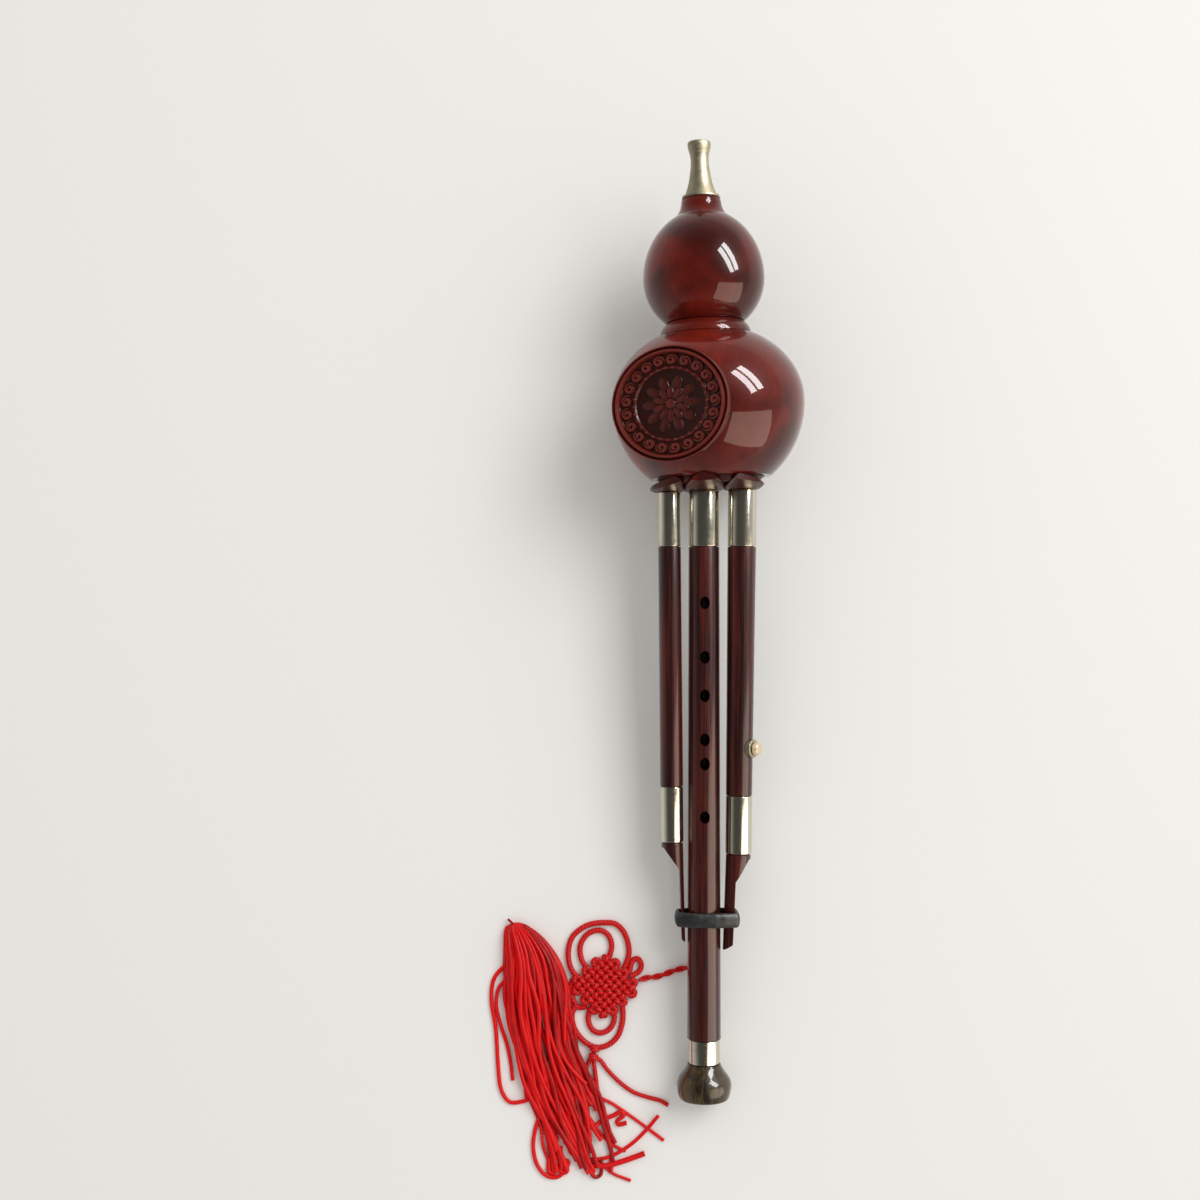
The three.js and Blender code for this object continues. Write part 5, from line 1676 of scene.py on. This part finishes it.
def make_band():
    """The rubber band drawn tight round the main pipe and the two tails."""
    place = PLACES["main"]
    low, high = place.reach("rubber_ring")
    y = (low.y + high.y) / 2
    points = [point for node in ("main_pipe", "drone_tail", "mute_tail") for point in place.section(node, y)]
    half, bulge, edge = (high.y - low.y) / 2 - BAND_EASE, settings("pipes").band_bulge, 0.3 * MM
    inner = 2 * GAP
    section = [(inner + edge, half), (inner, half - edge), (inner, edge - half), (inner + edge, -half)]
    outside = arc(bulge, half, 0, -math.pi / 2, math.pi / 2, 16)
    section += [(inner + BAND_WALL - bulge + out, up) for out, up in outside]
    rings = []
    for i in range(PIPE_SIDES):
        angle = 2 * math.pi * i / PIPE_SIDES
        way = Vector((math.cos(angle), math.sin(angle)))
        held = sum((furthest(points, angle + turn) for turn in BAND_TURNS), Vector((0, 0)))
        middle = held / len(BAND_TURNS)
        rings.append([(middle.x + way.x * out, y + up, middle.y + way.y * out) for out, up in section])
    dress(loft("rubber_band", rings, closed=True), place, "black_rubber", "rubber_ring")


def furthest(points, angle):
    """The point that lies furthest that way."""
    way = Vector((math.cos(angle), math.sin(angle)))
    return max(points, key=lambda point: point.dot(way))


class HULUSI_OT_pipes(Steps, bpy.types.Operator):
    """Makes the three pipes, their ferrules and tails, the bell, the stopper and the band"""

    bl_idname = "hulusi.pipes"
    bl_label = "Pipes"
    steps = (
        make_ferrules,
        make_main_pipe,
        make_bell,
        make_sides,
        make_stopper,
        make_bush,
        make_band,
    )


# Knot and tassel

GOLDEN_SHARE = 0.618  # spreads the strands evenly from side to side
KNOT_CENTRE = (-44.7, 48.2)  # in millimetres from the bell's end
KNOT_TURN = math.radians(42)
KNOT_LOOPS = (
    (
        (578, 984), (570, 972), (567.6, 957), (571, 943), (579.5, 934), (591, 928.5), (604.5, 927),
        (616, 928.5), (624, 936), (628.5, 947), (629.5, 958), (626, 970), (620, 978),
    ),
    (
        (588, 974), (581.5, 965), (579.7, 952), (584.5, 941.5), (592, 936), (601, 935), (608.7, 940),
        (612, 949.7), (610, 960), (606, 970),
    ),
    ((630, 977), (633, 966), (638.5, 963.5), (642, 969), (640, 976), (631, 981)),
    ((580, 981), (573, 984), (570, 993), (572.5, 1004), (578, 1012), (586, 1011)),
    ((590, 1012), (588, 1024), (592, 1034), (600, 1037.6), (609.5, 1034), (614.5, 1024.5), (613, 1014)),
    (
        (622, 1006), (623.5, 1018), (622.4, 1029), (618, 1041), (608.5, 1049.5), (596, 1052),
        (584, 1046), (574.5, 1034), (571.5, 1020), (576, 1008),
    ),
)
LINK = (
    (
        (595.3, 1050, 2.6), (593.6, 1058, 1.8), (593.6, 1066, 1.6), (595, 1076, 1.4),
        (596.5, 1088, 1.3), (597.5, 1099, 1.5), (594, 1110, 2),
    ),
    (
        (594.5, 1060, 2.4), (590, 1064, 1.5), (586.5, 1073, 1.2), (587.5, 1083, 1.2),
        (593, 1094, 1.5), (596, 1104, 2.2),
    ),
    (
        (593.8, 1062, 2.4), (600.5, 1065, 1.5), (608, 1075, 1.1), (620.2, 1087, 1.1),
        (633.5, 1096.3, 1.1), (648, 1101.5, 1.1), (661, 1105, 1.1), (669, 1109.5, 1.1),
    ),
)
LINK_KNOTS = (0.06, 0.22)  # where its two small knots are along it
LOOP_RISE = 0.15  # of a loop of the knot off the floor, in millimetres
LOOP_TUCK = 0.9  # of its two ends
LINK_CORD = 1.9 * MM
OFF_FLOOR = 0.1  # of the lowest yarn, in millimetres
# A row down the tassel: its pixel, its left and right edge in pixels and its height in millimetres
TASSEL_ROWS = (
    (928, 506, 520, 3.2), (932, 502, 529, 5.6), (937, 500.5, 537, 7.2), (945, 500, 546, 8.8),
    (960, 500, 557, 10), (980, 499.5, 566, 10.4), (1000, 500, 572, 10.3), (1025, 504, 575, 9.8),
    (1050, 511, 578, 9.3), (1075, 518, 588, 8.6), (1100, 526, 598, 7.8), (1140, 545, 606, 6),
    (1165, 556, 610, 4.6), (1185, 562, 616, 3.4),
)
HEAD_Y = 932
HEAD_LEVEL = 0.3  # the level in the bundle above which a strand goes over the head
LONG_LEVEL = 0.45  # the level above which most strands are long
LONG_TIPS = (1142, 1180)
SHORT_TIPS = (1064, 1142)
TURNED_SHARE = 0.34  # of the long strands, whose ends turn back
STRAY_TUCK = 1.2  # of a stray's first point, in millimetres
STRAYS = (
    (
        (507, 968), (499, 974), (491, 986), (489.5, 1007), (494, 1034), (496.5, 1070), (499.5, 1093),
        (508, 1106), (521, 1106), (533, 1102),
    ),
    ((503, 985), (496, 995), (494.5, 1012), (499, 1030), (505, 1048), (509, 1066), (511.5, 1085)),
    (
        (543, 1112), (536, 1128), (532.5, 1148), (535.5, 1166), (544.5, 1178), (556, 1180.5),
        (565, 1174), (569, 1165),
    ),
    ((541, 1140), (544, 1155), (551, 1168), (560, 1171), (568, 1163)),
    ((590, 1098), (602, 1103), (618, 1111.5), (646, 1131), (664.5, 1144.5)),
    ((659, 1119.5), (647, 1134), (633, 1147), (617.5, 1157), (604, 1162), (590, 1163)),
    (
        (592, 1133), (599, 1127), (606, 1122.5), (614, 1119.5), (621, 1116), (624, 1119.5),
        (618, 1124.5), (619, 1128.5), (627, 1127),
    ),
    ((580, 1162), (590, 1168), (604.5, 1169), (622, 1165), (645, 1157)),
    ((594, 1164), (603, 1169.5), (614, 1177.5), (631, 1184)),
    ((590, 1122), (600, 1137), (612, 1148), (626, 1155)),
)
STRAY_SIZES = (1, 0.9, 1, 0.8, 0.8, 0.9, 1.1, 1.35, 0.75, 0.8)
CORD_END = ((518, 938, 4.6), (513.5, 931.5, 4), (510, 927, 3.2), (506, 923.5, 2.4))
CORD_END_SIZE = 0.6


def tassel_row(y):
    """The tassel's left and right edge in pixels and its height in millimetres, at that pixel."""
    rows = TASSEL_ROWS
    i = max(k for k in range(len(rows) - 1) if y >= rows[k][0] or k == 0)
    before, a, b, after = rows[max(i - 1, 0)], rows[i], rows[i + 1], rows[min(i + 2, len(rows) - 1)]
    span = b[0] - a[0]
    t = (y - a[0]) / span
    made = []
    for k in (1, 2, 3):
        start = (b[k] - before[k]) / (b[0] - before[0]) * span
        stop = (after[k] - a[k]) / (after[0] - a[0]) * span
        rise = (2 * t**3 - 3 * t**2 + 1) * a[k] + (3 * t**2 - 2 * t**3) * b[k]
        made.append(rise + (t**3 - 2 * t**2 + t) * start + (t**3 - t**2) * stop)
    return made


def make_knot():
    """The woven knot, of two cords and the loops beside them, and the link under it."""
    tassel = settings("tassel")
    material = cord_finish("knot cord", 1.5 * MM, 3)
    thick = tassel.knot_cord / MM
    lines = [serpentine(across, thick) for across in (False, True)]
    loops = [knot_loop(points, thick) for points in KNOT_LOOPS]
    yarn = yarn_tree()
    knot = line_object("woven_knot", [*(floor_points(line) for line in lines), *loops])
    yarn.apply(knot, Diameter=tassel.knot_cord, Sides=10, Material=material)
    finished(knot, "red_cord", material, "chinese_knot")
    link = [spline(pixel_points(line), 8) for line in LINK]
    path = link[0]
    link += [small_knot(path[round(share * (len(path) - 1))]) for share in LINK_KNOTS]
    hitch = line_object("knotted_link", link)
    yarn.apply(hitch, Diameter=LINK_CORD, Sides=10, Material=material)
    finished(hitch, "red_cord", material, "tassel_link")


def serpentine(across, thick):
    """One cord that runs to and fro through the weave, over and under the other."""
    tassel = settings("tassel")
    rows = tassel.knot_rows
    pitch = tassel.knot_side / MM / rows
    lift = thick * 0.5
    middle = OFF_FLOOR + thick / 2 + lift
    half = rows * pitch / 2
    line = []
    steps = 6
    for i in range(rows):
        v = (i + 0.5) * pitch - half
        way = 1 if i % 2 == 0 else -1
        for k in range(rows * steps + 1):
            u = way * (-half + k * pitch / steps)
            wave = math.cos(math.pi * ((u + half) / pitch - 0.5) + math.pi * i)
            line.append((u, v, middle + (-lift if across else lift) * wave))
        if i < rows - 1:
            for k in range(1, 8):
                a = math.pi * k / 8
                out = way * (half + (pitch / 2 + 0.2) * math.sin(a))
                line.append((out, v + pitch / 2 - pitch / 2 * math.cos(a), middle))
    turn = Matrix.Rotation(KNOT_TURN, 2)
    made = []
    for u, v, z in line:
        at = turn @ Vector((v, u) if across else (u, v))
        made.append((KNOT_CENTRE[0] + at.x, KNOT_CENTRE[1] + at.y, z))
    return made


def knot_loop(points, thick):
    """A flat loop beside the weave, its ends tucked in."""
    last = len(points) - 1
    heights = [thick / 2 + (LOOP_TUCK if i in (0, last) else LOOP_RISE) for i in range(last + 1)]
    return spline(pixel_points((x, y, z) for (x, y), z in zip(points, heights)), 8)


def small_knot(centre):
    """A small tight knot of one turn and a half."""
    steps = 26
    made = []
    for i in range(steps + 1):
        t = i / steps
        a = 3 * math.pi * t
        x, y = centre.x + 1.35 * MM * math.cos(a), centre.y + (t - 0.5) * 1.6 * MM
        made.append(Vector((x, y, 2.35 * MM + 1.15 * MM * math.sin(a))))
    return made


class HULUSI_OT_knot(Steps, bpy.types.Operator):
    """Makes the woven knot, the link under it and its loose end"""

    bl_idname = "hulusi.knot"
    bl_label = "Knot"
    steps = (make_knot,)


def make_tassel():
    """The tassel's strands, from its folded head down to their tips."""
    tassel = settings("tassel")
    rng = random.Random(tassel.seed)
    material = silk_finish()
    thick = tassel.strand_diameter / MM
    lines, shades, sizes = [], [], []
    for i in range(tassel.strand_count):
        level = (i + 0.5) / tassel.strand_count
        u = 2 * (i * GOLDEN_SHARE % 1) - 1
        line, size = tassel_strand(rng, u, level, thick)
        lines.append(pixel_points(line))
        sizes.append(size)
        shades.append(rng.uniform(0.1, 1.0))
    for points, size in zip(STRAYS, STRAY_SIZES):
        height = thick / 2 * size + OFF_FLOOR
        flat = [(x, y, height + (0 if k else STRAY_TUCK)) for k, (x, y) in enumerate(points)]
        lines.append(spline(pixel_points(flat), 10))
        sizes.append([size] * len(lines[-1]))
        shades.append(rng.uniform(0.6, 1.0))
    lines.append(spline(pixel_points(CORD_END), 8))
    sizes.append([CORD_END_SIZE] * len(lines[-1]))
    shades.append(0.0)
    skirt = line_object("tassel_strands", lines, shades, sizes)
    yarn_tree().apply(skirt, Diameter=tassel.strand_diameter, Sides=10, Material=material)
    finished(skirt, "red_cord", material, "tassel_skirt", "tassel_head")


def strand_height(u, level, y, thick):
    """How high a strand lies there."""
    rise = tassel_row(y)[2]
    over = math.sqrt(max(0, 1 - min(1, u * u)))
    return OFF_FLOOR + thick / 2 + max(0, rise - thick) * over * level**0.85


def turned_end(tip, radius, side, floor):
    """A strand's end, folded back beside it."""
    x, y, z = tip
    made = []
    for i in range(1, 13):
        a = math.pi * min(1, i / 8)
        back = max(0, i - 8) * radius * 0.7
        low = floor + (z - floor) * max(0, 1 - i / 5)
        made.append((x + side * radius * (1 - math.cos(a)), y + radius * math.sin(a) - back, low))
    return made


def tassel_strand(rng, u, level, thick):
    """One strand, from under the head, over its top and down to the strand's own tip."""
    full_length = rng.random() < (0.8 if level > LONG_LEVEL else 0.12)
    end = rng.uniform(*(LONG_TIPS if full_length else SHORT_TIPS))
    drift = rng.uniform(-0.4, 0.4) if rng.random() < 0.6 else rng.uniform(-1.1, 1.1)
    drift *= 1 if full_length else 0.4
    waves = (
        (rng.uniform(0.8, 3.6), rng.uniform(3, 7), rng.uniform(0, 7)),
        (rng.uniform(0.5, 2.2), rng.uniform(7, 14), rng.uniform(0, 7)),
        (rng.uniform(0.2, 0.9), rng.uniform(14, 26), rng.uniform(0, 7)),
    )
    lift = rng.uniform(0.08, 0.26), rng.uniform(5, 11), rng.uniform(0, 7)
    flick = rng.uniform(-9, 13)
    full = rng.uniform(0.86, 1.12)
    inset = 0.45 * thick * MM / PX
    floor = OFF_FLOOR + thick / 2
    made = []
    top = TASSEL_ROWS[0][0] + 4 * u * u
    if level > HEAD_LEVEL:
        left, right, _ = tassel_row(HEAD_Y)
        across = (left + right) / 2 + ((right - left) / 2 - inset) * u
        high = strand_height(u, level, HEAD_Y, thick)
        for i in range(7):
            a = math.pi * i / 8
            z = floor + (high - floor) * (1 - math.cos(a)) / 2
            made.append((across, top + (HEAD_Y - top + 1) * (1 - math.sin(a)), z))
    steps = 58
    for i in range(steps + 1):
        t = i / steps
        y = HEAD_Y + (end - HEAD_Y) * t
        left, right, _ = tassel_row(y)
        grown = min(1, 4 * t)
        sway = sum(far * math.sin(turns * t + start) for far, turns, start in waves)
        sway *= 0.8 + 0.9 * t * t
        v = u * (1 - 0.1 * t) + drift * t**1.8
        v = 1.16 * v / (1 + v**4) ** 0.25
        up = level + grown * lift[0] * math.sin(lift[1] * t + lift[2])
        x = (left + right) / 2 + ((right - left) / 2 - inset) * v + grown * sway + flick * t**7
        up = max(0, min(1, up)) * (1 - 0.3 * t * t)
        made.append((x, y, strand_height(v, up, y, thick)))
    if full_length and rng.random() < TURNED_SHARE:
        made += turned_end(made[-1], rng.uniform(2.6, 6), rng.choice((-1, 1)), floor)
    size = [full * (0.62 + 0.38 * max(0, min(1, (y - HEAD_Y) / 40))) for x, y, z in made]
    return made, size


class HULUSI_OT_tassel(Steps, bpy.types.Operator):
    """Makes the tassel's folded head and its strands"""

    bl_idname = "hulusi.tassel"
    bl_label = "Tassel"
    steps = (make_tassel,)


# Reeds and seals

HIDDEN_SLOTS = {
    "reed_brass": ("reed_tube", "reed_plate", "reed_cap"),
    "black_rubber": ("seal_ring",),
}


def colour_reeds():
    """Gives the reeds, the seals and the dowel inside the instrument their finishes."""
    slots = {"mute_dowel": "pipe_wood"}
    for slot, parts in HIDDEN_SLOTS.items():
        slots.update({side + part: slot for side in ("main_", "drone_") for part in parts})
    for name, slot in slots.items():
        for place in frame["nodes"][name].material_slots:
            place.material = finish_of(slot)


class HULUSI_OT_reeds(Steps, bpy.types.Operator):
    """Gives the reeds, seals and plugs inside the instrument their finishes"""

    bl_idname = "hulusi.reeds"
    bl_label = "Reeds and seals"
    steps = (colour_reeds,)


class HULUSI_PT_panel(bpy.types.Panel):
    """Lists the pieces of the hulusi with their sizes and colours"""

    bl_idname = "HULUSI_PT_panel"
    bl_label = "Hulusi"
    bl_space_type = "VIEW_3D"
    bl_region_type = "UI"
    bl_category = "Hulusi"

    def draw(self, context):
        for each in CLASSES:
            if issubclass(each, bpy.types.Operator):
                self.layout.operator(each.bl_idname)
        for name in SETTINGS:
            group = getattr(context.scene, name)
            box = self.layout.box()
            box.label(text=name.split("_")[1].capitalize())
            for each in group.bl_rna.properties:
                if each.identifier not in ("rna_type", "name"):
                    box.prop(group, each.identifier)


CLASSES = [
    *SETTINGS.values(),
    HULUSI_OT_stage,
    HULUSI_OT_knot,
    HULUSI_OT_cord,
    HULUSI_OT_gourd,
    HULUSI_OT_medallion,
    HULUSI_OT_seat,
    HULUSI_OT_mouthpiece,
    HULUSI_OT_pipes,
    HULUSI_OT_tassel,
    HULUSI_OT_reeds,
    HULUSI_PT_panel,
]


def register():
    """Registers the classes and gives the scene its settings."""
    for each in CLASSES:
        bpy.utils.register_class(each)
    for name, group in SETTINGS.items():
        setattr(bpy.types.Scene, name, PointerProperty(type=group))


def unregister():
    """Takes the settings and the classes away again."""
    for name in SETTINGS:
        delattr(bpy.types.Scene, name)
    for each in reversed(CLASSES):
        bpy.utils.unregister_class(each)


def main():
    """Makes every piece in order."""
    register()
    for each in CLASSES:
        if issubclass(each, bpy.types.Operator):
            group, name = each.bl_idname.split(".")
            getattr(getattr(bpy.ops, group), name)()
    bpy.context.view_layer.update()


if __name__ == "__main__":
    main()
